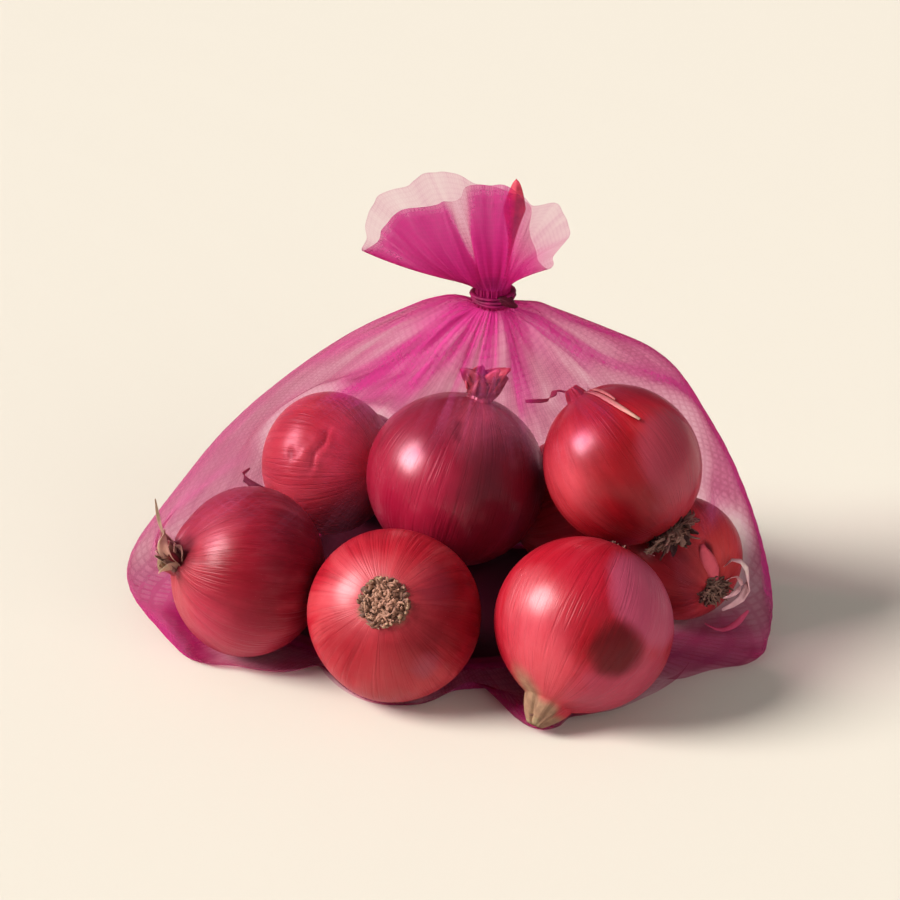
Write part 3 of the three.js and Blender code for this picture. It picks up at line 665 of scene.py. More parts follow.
def skin_group():
    """Onion skin from its local place: veins and streaks that run from root to neck, paler poles."""
    inputs = (("Skin", "Vector"), ("Seed", "Float"), ("Red", "Color"), ("Deep", "Color"), ("Pale", "Color"),
              ("Pole", "Float"))
    outputs = (("Color", "Color"), ("Roughness", "Float"), ("Height", "Float"))
    tree, given, out = new_group("Onion skin", inputs, outputs)
    split = tree.nodes.new("ShaderNodeSeparateXYZ")
    feed(tree, split.inputs[0], given["Skin"])
    x, y, z = split.outputs
    ring = calc(tree, "SQRT", plus(tree, times(tree, x, x), times(tree, y, y)))
    ring = calc(tree, "MAXIMUM", ring, 0.05)
    cx, cy = calc(tree, "DIVIDE", x, ring), calc(tree, "DIVIDE", y, ring)
    cx = plus(tree, cx, given["Seed"])
    broad = grain(tree, combine(tree, cx, cy, times(tree, z, 0.3)), 3.2, 2.0, 0.5)
    streak = grain(tree, combine(tree, cx, cy, times(tree, z, 0.14)), 9.0, 3.0, 0.62)
    fine = combine(tree, cx, cy, times(tree, z, 0.05))
    vein = rise(tree, grain(tree, fine, 26.0, 2.0, 0.5), 0.5, 0.66)
    hair = grain(tree, fine, 80.0, 1.0, 0.5)
    base = blend(tree, rise(tree, streak, 0.32, 0.66), given["Deep"], given["Red"])
    base = blend(tree, rise(tree, broad, 0.34, 0.56, 0.45, 1.0), base, given["Red"])
    light = rise(tree, plus(tree, broad, times(tree, streak, 0.35)), 0.66, 0.86)
    base = blend(tree, times(tree, light, 0.45), base, given["Pale"])
    pole = plus(tree, rise(tree, calc(tree, "ABSOLUTE", z), 0.70, 1.02),
                times(tree, calc(tree, "SUBTRACT", streak, 0.5), 1.1), clamp=True)
    base = blend(tree, times(tree, pole, given["Pole"]), base, given["Pale"])
    base = blend(tree, times(tree, vein, 0.24), base, given["Deep"])
    base = blend(tree, times(tree, rise(tree, hair, 0.52, 0.78), 0.18), base, given["Pale"])
    feed(tree, out["Color"], base)
    feed(tree, out["Roughness"], plus(tree, 0.30, times(tree, broad, 0.16)))
    height = plus(tree, times(tree, vein, -0.6), times(tree, hair, 0.35))
    feed(tree, out["Height"], plus(tree, height, times(tree, streak, 0.8)))
    return tree


def patch_group():
    """A patch round a place, used both for other skin and for painted light and shade: its share, with an edge that
    wanders along the veins.
    """
    inputs = (("Skin", "Vector"), ("Towards", "Vector"), ("Level", "Float"), ("Soft", "Float"))
    tree, given, out = new_group("Skin and shade patch", inputs, (("Share", "Float"),))
    near = vector_calc(tree, "DOT_PRODUCT", vector_calc(tree, "NORMALIZE", given["Skin"]), given["Towards"])
    rough = grain(tree, vector_calc(tree, "MULTIPLY", given["Skin"], (1.0, 1.0, 0.45)), 5.0, 4.0, 0.62)
    wander = times(tree, calc(tree, "SUBTRACT", rough, 0.5), times(tree, given["Soft"], 1.5))
    level = calc(tree, "SUBTRACT", plus(tree, near, wander), given["Level"])
    feed(tree, out["Share"], rise(tree, level, times(tree, given["Soft"], -1.0), given["Soft"]))
    return tree


def dry_group():
    """Dry fibrous husk: a warm brown that varies along and between the fibres."""
    inputs = (("Vector", "Vector"), ("Light", "Color"), ("Dark", "Color"), ("Tone", "Float"))
    tree, given, out = new_group("Dry husk", inputs, (("Color", "Color"), ("Height", "Float")))
    mottle = grain(tree, given["Vector"], 420.0, 3.0, 0.6)
    speck = grain(tree, given["Vector"], 1500.0, 1.0, 0.5)
    share = plus(tree, times(tree, given["Tone"], 0.75), times(tree, mottle, 0.5))
    tone = blend(tree, rise(tree, share, 0.2, 1.05), given["Dark"], given["Light"])
    feed(tree, out["Color"], tone)
    feed(tree, out["Height"], plus(tree, mottle, times(tree, speck, 0.5)))
    return tree


GROUPS = {}


def group(name):
    """The shared effect of that name, built when it is first asked for."""
    makers = {"skin": skin_group, "patch": patch_group, "dry": dry_group}
    if name not in GROUPS:
        GROUPS[name] = makers[name]()
    return GROUPS[name]


# ---- Materials -------------------------------------------------------------------------------------

def onion_material(name, onion, seed, settings):
    """Skin in the onion's own colours, with its patches of skin and of painted light and shade, painted shade in its
    creases, painted light on their lips, and dry ends.
    """
    material, tree, shader = new_material("onion_" + name)
    skin = attribute(tree, "skin")
    made = use_group(tree, group("skin"), Skin=skin, Seed=seed * 3.7, Red=rgba(onion["red"]),
                     Deep=rgba(onion["deep"]), Pale=rgba(onion["pale"]), Pole=onion["pole"])
    tone = made["Color"]
    turn = onion_turn(onion).transposed()
    scale = Vector((1 / onion["across"], 1 / onion["across"], 1 / onion["along"]))
    # Patches of other skin and of painted light and shade, as listed with the onions.
    for way, radius, soft, colour, strength in onion["skin_and_shade_patches"]:
        local = turn @ Vector(way)
        local = Vector([a * b for a, b in zip(local, scale)]).normalized()
        middle, edge = math.radians(radius), math.radians(radius + soft / 2)
        softness = math.cos(max(middle - math.radians(soft / 2), 0)) - math.cos(edge)
        patch = use_group(tree, group("patch"), Skin=skin, Towards=local, Level=math.cos(middle), Soft=softness)
        share = times(tree, patch["Share"], strength)
        veined = blend(tree, 0.14, rgba(colour), made["Color"])
        tone = blend(tree, share, tone, veined)
    # Painted shade in the grooves of creases and painted light on the raised lips.
    crease_shading = attribute(tree, "crease_shading", "Fac")
    tone = blend(tree, times(tree, rise(tree, crease_shading, 0.05, 0.9), 0.7), tone, rgba(onion["pale"]))
    tone = blend(tree, rise(tree, crease_shading, -0.05, -0.9), tone, rgba([c * 0.5 for c in onion["deep"]]))
    dryness = attribute(tree, "dry", "Fac")
    dry = use_group(tree, group("dry"), Vector=vector_calc(tree, "MULTIPLY", skin, (0.03, 0.03, 0.01)),
                    Light=rgba(onion.get("husk", settings.husk_light)), Dark=rgba(settings.husk_dark), Tone=0.5)
    feed(tree, shader.inputs["Base Color"], blend(tree, dryness, tone, dry["Color"]))
    feed(tree, shader.inputs["Roughness"], plus(tree, made["Roughness"], times(tree, dryness, 0.3)))
    feed(tree, shader.inputs["Normal"], bump(tree, made["Height"], settings.vein_depth, 0.0008))
    shader.inputs["Specular IOR Level"].default_value = 0.12
    shader.inputs["Coat Weight"].default_value = settings.gloss * onion.get("shine", 1.0)
    shader.inputs["Coat Roughness"].default_value = 0.27
    return material


def husk_material(name, light, dark, roughness=0.8):
    """Dry skin or root, dull unless told otherwise."""
    material, tree, shader = new_material(name)
    place_node = tree.nodes.new("ShaderNodeTexCoord")
    made = use_group(tree, group("dry"), Vector=place_node.outputs["Object"], Light=rgba(light), Dark=rgba(dark),
                     Tone=attribute(tree, "tone", "Fac"))
    feed(tree, shader.inputs["Base Color"], made["Color"])
    feed(tree, shader.inputs["Normal"], bump(tree, made["Height"], 0.5, 0.0003))
    shader.inputs["Roughness"].default_value = roughness
    return material


def weave_level(tree, cell):
    """How dense the fine weave is from place to place on the flattened cloth, about 1."""
    cloth = tree.nodes.new("ShaderNodeUVMap")
    cloth.uv_map = "cloth"
    split = tree.nodes.new("ShaderNodeSeparateXYZ")
    feed(tree, split.inputs[0], cloth.outputs[0])
    ribs = [rise(tree, calc(tree, "COSINE", times(tree, split.outputs[axis], TAU / cell)), 0.0, 1.0)
            for axis in (0, 1)]
    both = calc(tree, "MAXIMUM", *ribs)
    patch = grain(tree, vector_calc(tree, "MULTIPLY", cloth.outputs[0], (1.0, 0.22, 1.0)), 110.0, 3.0, 0.6)
    level = plus(tree, 0.92, times(tree, both, 0.2))
    return times(tree, level, rise(tree, patch, 0.25, 0.75, 0.8, 1.2))


def net_material(settings):
    """Sheer net: dyed threads that tint what is behind them and cover a small part of it, more where
    the net is gathered or seen edge on."""
    material, tree, shader = new_material("sheer_net")
    gather = attribute(tree, "gather", "Fac")
    facing = tree.nodes.new("ShaderNodeLayerWeight")
    facing.inputs["Blend"].default_value = 0.5
    edge_on = calc(tree, "POWER", facing.outputs["Facing"], 3.0)
    layers = times(tree, gather, plus(tree, 1.0, times(tree, edge_on, settings.edge)))
    layers = times(tree, layers, weave_level(tree, settings.cell * MM))
    tint = tree.nodes.new("ShaderNodeGamma")
    feed(tree, tint.inputs["Color"], blend(tree, rise(tree, gather, 1.4, 4.0), rgba(settings.thin_tint),
                                           rgba(settings.tint)))
    feed(tree, tint.inputs["Gamma"], layers)
    behind = tree.nodes.new("ShaderNodeBsdfTransparent")
    feed(tree, behind.inputs["Color"], tint.outputs["Color"])
    crowded = times(tree, layers, rise(tree, layers, 0.3, 3.2))
    open_share = calc(tree, "POWER", 1.0 - settings.cover, crowded)
    tone = blend(tree, rise(tree, gather, 0.8, 3.0), rgba(settings.thin_tone), rgba(settings.tone))
    tone = blend(tree, rise(tree, gather, 4.0, 11.0), tone, rgba(settings.deep_tone))
    # Past fifteen layers, on the sheet under the onions, the net turns near black: painted shade.
    tone = blend(tree, rise(tree, gather, 15.0, 20.0), tone, rgba(settings.underside_shade_tone))
    feed(tree, shader.inputs["Base Color"], tone)
    shader.inputs["Roughness"].default_value = 0.7
    shader.inputs["Specular IOR Level"].default_value = 0.15
    sheer = tree.nodes.new("ShaderNodeMixShader")
    feed(tree, sheer.inputs[0], open_share)
    feed(tree, sheer.inputs[1], shader.outputs[0])
    feed(tree, sheer.inputs[2], behind.outputs[0])
    feed(tree, tree.nodes["Material Output"].inputs["Surface"], sheer.outputs[0])
    return material


def tie_material(name, tone, shade):
    """Soft dull cloth of the tie."""
    material, tree, shader = new_material(name)
    place_node = tree.nodes.new("ShaderNodeTexCoord")
    soft = grain(tree, place_node.outputs["Object"], 260.0, 3.0, 0.6)
    lines = grain(tree, place_node.outputs["Object"], 1400.0, 1.0, 0.5)
    feed(tree, shader.inputs["Base Color"], blend(tree, rise(tree, soft, 0.3, 0.7), rgba(shade), rgba(tone)))
    feed(tree, shader.inputs["Normal"], bump(tree, plus(tree, soft, lines), 0.4, 0.0003))
    shader.inputs["Roughness"].default_value = 0.6
    shader.inputs["Specular IOR Level"].default_value = 0.15
    return material


# ---- Onions ------------------------------------------------------------------------------------------

AROUND, ALONG = 144, 84         # corners round an onion and from its root to its neck
COLLAR_STEPS, RIM_STEPS = 12, 6


def onion_turn(onion):
    """Turns the onion's own upright axes into the heap's."""
    up = Vector(unit(onion["neck"]))
    side = Vector((0.31, 0.85, -0.42)).cross(up).normalized()
    return Matrix((side, up.cross(side), up)).transposed()


def onion_profile(onion):
    """Half outline from the root to the tip of the neck, as radius and height."""
    a, b = onion["across"], onion["along"]
    rn, ln = onion["neck_radius"], onion["neck_length"]
    flare = {"open": 0.1, "papery": -0.72, "closed": -0.45}[onion["end"]]
    points = []
    for i in range(ALONG):
        t = math.pi * i / (ALONG - 1) * 0.985
        r = a * math.sin(t) ** 0.97
        h = -b * math.cos(t)
        h += 1.8 * math.exp(-(r / 5.0) ** 2) * (h < 0)
        climb = min(max((h - 0.5 * b) / (0.5 * b), 0), 1)
        neck = rn * climb ** 2
        r = (r ** 2.4 + neck ** 2.4) ** (1 / 2.4) if climb > 0 else r
        points.append((max(r, 0.0) if i else 0.0, h))
    top_r, top_h = points[-1]
    for k in range(1, COLLAR_STEPS + 1):
        rising = k / COLLAR_STEPS
        points.append((top_r * (1 + flare * rising ** 1.2), top_h + ln * k / COLLAR_STEPS))
    rim = points[-1][0]
    sink = 0.9 if onion["end"] == "open" else 0.15
    for k in range(1, RIM_STEPS + 1):
        drop = sink * math.sin(k * math.pi / (2 * RIM_STEPS))
        points.append((rim * (1 - k / RIM_STEPS) * (0.86 if k < RIM_STEPS else 1), top_h + ln * (1 - drop)))
    return points


def onion_body(name, onion, seed, settings):
    """One onion: its outline spun round, made uneven, creased and put in its place."""
    bm = bmesh.new()
    verts = [bm.verts.new((r, 0, h)) for r, h in onion_profile(onion)]
    edges = [bm.edges.new(pair) for pair in zip(verts, verts[1:])]
    bmesh.ops.spin(bm, geom=verts + edges, cent=(0, 0, 0), axis=(0, 0, 1), angle=TAU, steps=AROUND,
                   use_merge=True, use_duplicate=False)
    weld(bm, POLE_WELD)
    obj = mesh_object("onion_" + name, bm)
    mesh = obj.data
    local = coordinates(mesh)
    a, b, ln = onion["across"], onion["along"], onion["neck_length"]
    store(mesh, "skin", local / (a, a, b))
    rng = np.random.default_rng(seed)
    phi = np.arctan2(local[:, 1], local[:, 0])
    level = local[:, 2] / b
    body = np.clip(1 - np.abs(level) ** 6, 0, 1)
    lump = sum(w * (np.sin(k * phi + s + m * level) - 1) for k, m, w, s in (
        (2, 1.3, 0.008, rng.uniform(0, TAU)), (3, -1.1, 0.006, rng.uniform(0, TAU)),
        (5, 0.6, 0.003, rng.uniform(0, TAU))))
    ribs = 0.003 * (np.sin(11 * phi + rng.uniform(0, TAU)) - 1) * step(level, 0.1, 0.9)
    scale = 1 + (lump + ribs) * body
    collar = step(local[:, 2], b * 0.8, b + ln)
    pinch = 0.18 * np.sin(4 * phi + seed) + 0.12 * np.sin(7 * phi) + 0.05 * np.sin(13 * phi + 1)
    local[:, :2] *= (scale * (1 + pinch * collar))[:, None]
    if onion["end"] == "open":
        local[:, 2] += collar * (1.3 * np.sin(3 * phi + seed) + 0.8 * np.sin(5 * phi))
    turn = np.array(onion_turn(onion))
    lean = np.array(onion["lean"], dtype=float)
    world = local @ turn.T + np.array(onion["at"]) + lean * (collar ** 1.5)[:, None]
    root = np.hypot(local[:, 0], local[:, 1]) + 0.9 * np.sin(3 * phi + seed) + 0.5 * np.sin(7 * phi)
    dry = (1 - step(root, 0.8 * onion["root"], 1.15 * onion["root"])) * (level < 0) * 0.9
    if onion["end"] == "papery":
        side = ((world - root_point(onion, 1, 1.0)) @ towards(-0.9, 0.2, 0.4)) / onion["neck_radius"]
        dry = np.maximum(dry, step(local[:, 2] + 3.2 * side + np.sin(5 * phi), b * 0.99, b + ln * 0.45))
    if onion["end"] == "open":
        dry = np.maximum(dry, step(local[:, 2] + np.sin(5 * phi), b + 0.45 * ln, b + ln))
    crease_shading = np.zeros(len(world))
    for owner, spot, way, length, width, depth in CREASES:
        if owner == name:
            world, crease_shading = press_crease(world, crease_shading, onion, spot, way, length, width, depth)
    store(mesh, "dry", dry)
    store(mesh, "crease_shading", crease_shading)
    set_coordinates(mesh, place(world))
    mesh.materials.append(onion_material(name, onion, seed, settings))
    return obj


def press_crease(world, crease_shading, onion, spot, way, length, width, depth):
    """Presses a groove (depth over 0) or raises a lip (under 0) along a short line on the skin, and marks the groove
    for painted shade and the lip for painted light.
    """
    off = world - np.array(onion["at"])
    radius = np.linalg.norm(off, axis=1)
    out = off / radius[:, None]
    spot = unit(spot)
    along = unit(way - spot * (way @ spot))
    over = np.cross(spot, along)
    side = out @ over * radius
    ahead = out @ along * radius
    side = side + 0.7 * np.sin(ahead * 0.55 + depth)
    near = np.exp(-(side / width) ** 2) * (1 - step(np.abs(ahead), length * 0.2, length * 0.5))
    near *= (out @ spot) > 0.2
    return world - out * (near * depth)[:, None], crease_shading + near * (-1 if depth > 0 else 1) * min(abs(depth), 1)


# ---- Roots, tufts and loose dry skin -----------------------------------------------------------------

# Lightest and darkest colour and roughness of each kind of dry skin.
DRY_SKINS = {
    "olive_root": ((0.26, 0.18, 0.12), (0.03, 0.014, 0.01), 0.8),
    "dry_neck": ((0.52, 0.34, 0.22), (0.10, 0.03, 0.025), 0.7),
    "torn_neck": ((0.62, 0.12, 0.11), (0.14, 0.006, 0.012), 0.5),
    "pale_husk": ((0.80, 0.55, 0.38), (0.45, 0.20, 0.12), 0.6),
    "white_husk": ((0.85, 0.62, 0.58), (0.45, 0.12, 0.15), 0.6),
    "red_husk": ((0.55, 0.06, 0.14), (0.2, 0.01, 0.05), 0.6),
    "peeled_husk": ((0.74, 0.13, 0.16), (0.45, 0.04, 0.06), 0.5),
}


def root_point(onion, sign=-1, reach=1.0):
    """Where the root (sign -1) or the neck (sign 1) of an onion comes out."""
    return np.array(onion["at"]) + unit(onion["neck"]) * sign * onion["along"] * reach


def on_skin(onion, way, height):
    """A point that far over the skin of an onion, on the way out from its middle."""
    way = unit(way)
    c = way @ unit(onion["neck"])
    radius = 1 / math.sqrt((c / onion["along"]) ** 2 + (1 - c * c) / onion["across"] ** 2)
    return np.array(onion["at"]) + way * (radius + height)


def skin_line(onion, height, *places):
    """A path that far over an onion's skin, through places as seen from the front."""
    return [on_skin(onion, seen(x, y), height) for x, y in places]


def curl(rng, start, out, length, bend, steps=6, wobble=0.12):
    """A short curling path that leaves start along out and wanders to the side."""
    side = unit(np.cross(out, rng.normal(size=3)))
    path = [np.array(start, dtype=float)]
    way = unit(out)
    for _ in range(steps):
        way = unit(way + side * bend / steps + rng.normal(size=3) * wobble)
        path.append(path[-1] + way * length / steps)
    return path


def root_mat(name, seed, count, thickness, length, stand=0.2, hang=(0, 0, 0), spill=1.0):
    """A root plate: short thick dry roots matted into a flat bumpy clump."""
    onion = ONIONS[name]
    radius = onion["root"]
    rng = np.random.default_rng(seed)
    out = -unit(onion["neck"])
    base = root_point(onion, -1, 0.965)
    side = unit(np.cross(out, (0.2, 0.1, 0.97)))
    over = np.cross(out, side)
    bm = bmesh.new()
    tones = []
    for _ in range(count):
        r = radius * 0.92 * math.sqrt(rng.random())
        a = rng.uniform(0, TAU)
        mound = 1.5 * (1 - (r / radius) ** 2) + 0.5 * math.sin(3 * a + r) - 0.3
        start = base + (side * math.cos(a) + over * math.sin(a)) * r
        start = start + out * (mound * rng.uniform(0.2, 1.0) - 0.04 * r)
        b = a + rng.normal() * 1.5
        way = out * stand * rng.uniform(-0.2, 1.4) + side * math.cos(b) + over * math.sin(b) + np.array(hang)
        path = curl(rng, start, way, length * rng.uniform(0.5, 1.1), rng.uniform(1.2, 3.2), 5, 0.2)
        held = []
        for p in path:
            off = p - base
            high = off @ out
            flat = off - out * high
            far = np.linalg.norm(flat)
            flat *= min(1.0, (radius * spill + 0.25 * max(far - radius * spill, 0)) / max(far, 1e-6))
            held.append(base + flat + out * (high - 0.7 * max(high - 2.2 * spill, 0)))
        thick = thickness * rng.uniform(0.6, 1.3)
        sweep(bm, held, [thick * (0.7, 1.0, 1.0, 0.9, 0.7, 0.3)[k] for k in range(6)], sides=5)
        height = (np.array(held) - base) @ out
        shade = rng.random() ** 0.8
        tones += [min(max(0.1 + 0.24 * height[k] + 0.5 * shade * (1 - 0.3 * r / radius), 0), 1)
                  for k in range(6) for _ in range(6)]
    obj = mesh_object("roots_" + name, bm)
    store(obj.data, "tone", tones)
    weld_seams(obj)
    move_into_frame(obj)
    return obj


def weld_seams(obj):
    """Merges the rolled seams of stalks, so that each is one closed-round tube."""
    bm = bmesh.new()
    bm.from_mesh(obj.data)
    weld(bm, SEAM_WELD)
    bm.to_mesh(obj.data)
    bm.free()


def ribbons(name, strips, thickness=0.16):
    """Thin curled strips of dry skin joined in one piece: each a path, widths, a tone, a lift and a twist."""
    bm = bmesh.new()
    tones = []
    for path, widths, shade, lift, twist in strips:
        path = spline(path, max(len(path), 9))
        along = np.linspace(0, 1, len(path))
        wide = np.interp(along, np.linspace(0, 1, len(widths)), widths)
        sweep(bm, path, wide, sides=-4, lift=lift, twist=twist)
        tones += [shade * (0.7 + 0.3 * k / len(path)) for k in range(len(path)) for _ in range(5)]
    obj = mesh_object(name, bm)
    store(obj.data, "tone", tones)
    move_into_frame(obj)
    thicken(obj, thickness * MM)
    return obj


def tuft(at, out, seed, ring, count, length, width, spread):
    """Strips for a ring of torn papery shreds round a neck."""
    rng = np.random.default_rng(seed)
    out = unit(out)
    side = unit(np.cross(out, (0.3, 0.2, 0.93)))
    over = np.cross(out, side)
    strips = []
    for i in range(count):
        a = TAU * (i + rng.uniform(-0.3, 0.3)) / count
        radial = side * math.cos(a) + over * math.sin(a)
        start = np.array(at) + radial * ring * rng.uniform(0.6, 1.0) - out * 1.5
        path = curl(rng, start, out + radial * spread * rng.uniform(-0.2, 1.2), length * rng.uniform(0.6, 1.15),
                    rng.uniform(0.2, 1.1), 6)
        w = width * rng.uniform(0.6, 1.2)
        strips.append((path, (w * 0.9, w, w * 0.9, w * 0.6, w * 0.15), rng.random(), radial, rng.uniform(-0.7, 0.7)))
    return strips


def thicken(obj, thickness):
    """Gives a thin sheet its thickness, half to each side."""
    shell = obj.modifiers.new("paper", "SOLIDIFY")
    shell.thickness = thickness
    shell.offset = 0.0


# ---- The net -----------------------------------------------------------------------------------------

NET_COLUMNS, BELLY_ROWS, FRILL_ROWS, NECK_ROWS = 600, 160, 56, 8
CLOTH_ROUND = 720.0      # width of the flat net tube, all round
BELLY_LENGTH, FRILL_LENGTH = 300.0, 62.0        # its length below and above the tie
NECK_LAYERS = 13.0

# How many layers of cloth the belly counts for: stretched over an onion; how many more where it is
# slack, towards its right side and less towards its neck; at its left corner; on the floor under
# the onions, where it counts for so many that the net turns near black as painted shade.
STRETCHED_LAYERS, CORNER_LAYERS, SHADED_UNDERSIDE_LAYERS = 0.36, 2.1, 24.0
SLACK_LAYERS, SLACK_RIGHT, SLACK_HIGH = 1.25, 0.40, 0.30
FREE_FROM = (0.5, 6.5)          # distances from the onions between which it goes slack
FRONT_DRAWN = 0.93              # how much of that is drawn tight in front
# Oval on the floor under the onions where the net is given so many layers that it turns near black: painted shade.
UNDERSIDE = (0.0, 60.0, 85.0, 62.0)     # the bunched oval: its middle and half widths


def nearest_on(points, line):
    """Nearest point of a line for each point: its number, the offset from it and the distance."""
    best = np.full(len(points), np.inf)
    index = np.zeros(len(points), dtype=int)
    for i, p in enumerate(line):
        d = ((points - p) ** 2).sum(axis=1)
        closer = d < best
        best[closer], index[closer] = d[closer], i
    return index, points - line[index], np.sqrt(best)


def fold_effect(points, out, away):
    """How far the folds lift the net and how many layers they add."""
    lift = np.zeros(len(points))
    gather = np.zeros(len(points))
    for places, width, strength, fade in FOLDS:
        share, turn = np.array(places).T
        line = spline(FORM.at(share, turn), 70)
        reach = 3.5 * width
        near = ((points > line.min(axis=0) - reach) & (points < line.max(axis=0) + reach)).all(axis=1)
        index, off, distance = nearest_on(points[near], line)
        ahead = np.gradient(line, axis=0)[index]
        ahead /= np.linalg.norm(ahead, axis=1)[:, None]
        over = np.cross(ahead, out[near])
        along = index / (len(line) - 1)
        slim = width * np.clip(away[near] / 26.0, 0.3, 1.0) * (1 + 0.25 * np.sin(7 * along + strength))
        x = np.sign((off * over).sum(axis=1)) * distance / slim
        live = 1 - step(along, fade, 1.0)
        sharp = np.where(x > 0, np.exp(-(x / 0.5) ** 2), np.exp(-(x / 1.1) ** 2))
        gather[near] += strength * sharp * live * (0.8 + 0.2 * np.sin(9.0 * x + 3 * strength))
        lift[near] += 0.8 * strength * x * np.exp(-x * x) * live * step(away[near], 2, 24)
    return lift, gather


def crimp(turn, away):
    """Fine gathers near the neck."""
    a = turn * TAU
    near = np.exp(-away / 16.0) * step(away, 0.5, 8)
    mid = np.exp(-away / 34.0) * step(away, 4, 26)
    return (0.5 * near * np.sin(41 * a + 1.7 * np.sin(3 * a))
            + 0.6 * mid * np.sin(23 * a + 1.1 * np.sin(2 * a) + 0.4)
            + 0.3 * mid * np.sin(57 * a + 2.0 * np.sin(5 * a)))


def streaks(turn, seed=0.0):
    """Uneven bundles of threads round the neck, from -1 to 1."""
    a = turn * TAU
    return (0.40 * np.sin(11 * a + 2.0 * np.sin(2 * a + seed)) + 0.28 * np.sin(19 * a + 1.5 * np.sin(3 * a) + 1)
            + 0.20 * np.sin(37 * a + 3 * np.sin(4 * a) + seed) + 0.12 * np.sin(83 * a + 2 * np.sin(5 * a)))


def tension(points, turn, share):
    """Long shallow wrinkles over the belly."""
    a = turn * TAU
    w = 0.35 * np.sin(17 * a + 5.0 * share + 2 * np.sin(3 * a)) + 0.2 * np.sin(31 * a - 9 * share)
    w += 0.3 * np.sin(0.11 * points[:, 2] + 6 * a) * np.sin(9 * a + 0.07 * points[:, 0])
    return w * step(share, 0.08, 0.3) * step(points[:, 2], 1, 14)


def belly(turn, share):
    """Points and layers of the belly of the net, from its neck to its bottom."""
    points = FORM.at(share, turn)
    away = np.linalg.norm(points - NECK_BASE, axis=1)
    ahead = FORM.at(share + 0.004, turn) - FORM.at(share - 0.004, turn)
    sideways = FORM.at(share, turn + 0.003) - FORM.at(share, turn - 0.003)
    out = np.cross(ahead, sideways)
    size = np.linalg.norm(out, axis=1)
    out = out / np.maximum(size, 1e-9)[:, None]
    out *= np.sign((out * (points - HEART)).sum(axis=1))[:, None]
    space = FORM.bulges.space(points)
    for x, y, width, depth in TUCKS:
        near = np.exp(-((points[:, 0] - x) / width) ** 2) * step(-points[:, 1], -y - 16, -y)
        points[:, 1] += depth * near * (1 - step(points[:, 2], 10, 36))
    lift, folds = fold_effect(points, out, away)
    wave = (lift + crimp(turn, away) + tension(points, turn, share)) * step(size, 1e-6, 1e-3)
    wave *= step(points[:, 2], 0.5, 12) * (0.35 + 0.65 * step(space, 0.5, 6))
    points = points + out * wave[:, None]
    ring = neck_ring(turn, np.ones_like(turn))
    near = ((1 - step(share, 0, 0.05)) ** 2)[:, None]
    points = points * (1 - near) + ring * near
    points = FORM.bulges.keep_clear(points, FLOOR_GAP)
    points[:, 2] = np.maximum(points[:, 2], 0.3)
    return points, belly_layers(points, out, away, turn, folds)


def belly_layers(points, out, away, turn, folds):
    """How many layers of cloth the belly counts for: few where it is stretched over the onions, more
    where it hangs free, and most at its folds, seams, neck and foot. Under the onions on the floor it
    counts for so many that the net turns near black there, which is painted shade."""
    x, y, z = points[:, 0], points[:, 1], points[:, 2]
    free = step(FORM.bulges.space(points, FORM.bulges.onions), *FREE_FROM)
    front = step(-out[:, 1], 0.0, 0.5) * (1 - step(z, 88, 108))
    front *= (1 - step(-x, 60, 88) * step(z, 50, 68)) * (1 - step(x, 90, 102) * step(z, 48, 62))
    front *= 1 - 0.45 * step(-x, 20, 45) * step(z, 55, 75)
    slack = SLACK_LAYERS + SLACK_RIGHT * step(x, 40, 90) - SLACK_HIGH * step(z, 76, 112)
    layers = STRETCHED_LAYERS + slack * free * (1 - FRONT_DRAWN * front)
    layers *= 1 + 0.60 * streaks(turn, 3.0) * step(z, 84, 122)
    crowd = 5.0 * np.exp(-away / 8.0) + 1.0 * np.exp(-away / 20.0)
    layers += crowd * (1 + 0.5 * streaks(turn) * step(away, 2, 12))
    layers += folds
    for seam, most, width in ((LEFT_SEAM, 1.2, 2.4), (RIGHT_SEAM, 1.8, 3.0)):
        layers += most * np.exp(-(seam_distance(points, seam) / width) ** 2)
    low = 1 - step(z, 6, 24)
    layers += CORNER_LAYERS * low * step(-x, 90, 112)
    layers += (1.8 - 1.4 * step(x, 60, 80)) * np.exp(-((z - 2.2) / 1.5) ** 2)
    under = np.hypot((x - UNDERSIDE[0]) / UNDERSIDE[2], (y - UNDERSIDE[1]) / UNDERSIDE[3])
    # Under the onions on the floor: so many layers that the net turns near black, painted shade.
    return layers + SHADED_UNDERSIDE_LAYERS * (1 - step(under, 0.90, 1.15)) * (1 - step(z, 1.0, 3.0))


def seam_distance(points, seam):
    return nearest_on(points, spline(seam, 60))[2]


def neck_ring(turn, share):
    """Places on the gathered neck, from its top (share 0) to its bottom (share 1)."""
    a = turn * TAU
    radius = NECK_RADIUS + 0.22 * np.sin(26 * a) + 0.16 * np.sin(41 * a + 1)
    return np.stack((NECK[0] + radius * np.cos(a), NECK[1] + radius * np.sin(a),
                     NECK[2] + NECK_HEIGHT * (0.5 - share)), axis=1)


def neck(turn, share):
    """Points and layers of the neck, from top to bottom."""
    return neck_ring(turn, share), np.full(len(turn), NECK_LAYERS)


HEM_LINE = spline(HEM, 721, closed=True)


def hem(turn):
    """Places on the free edge of the frill."""
    at = (turn % 1.0) * (len(HEM_LINE) - 1)
    return NECK + np.stack([np.interp(at, np.arange(len(HEM_LINE)), HEM_LINE[:, k]) for k in range(3)], axis=1)


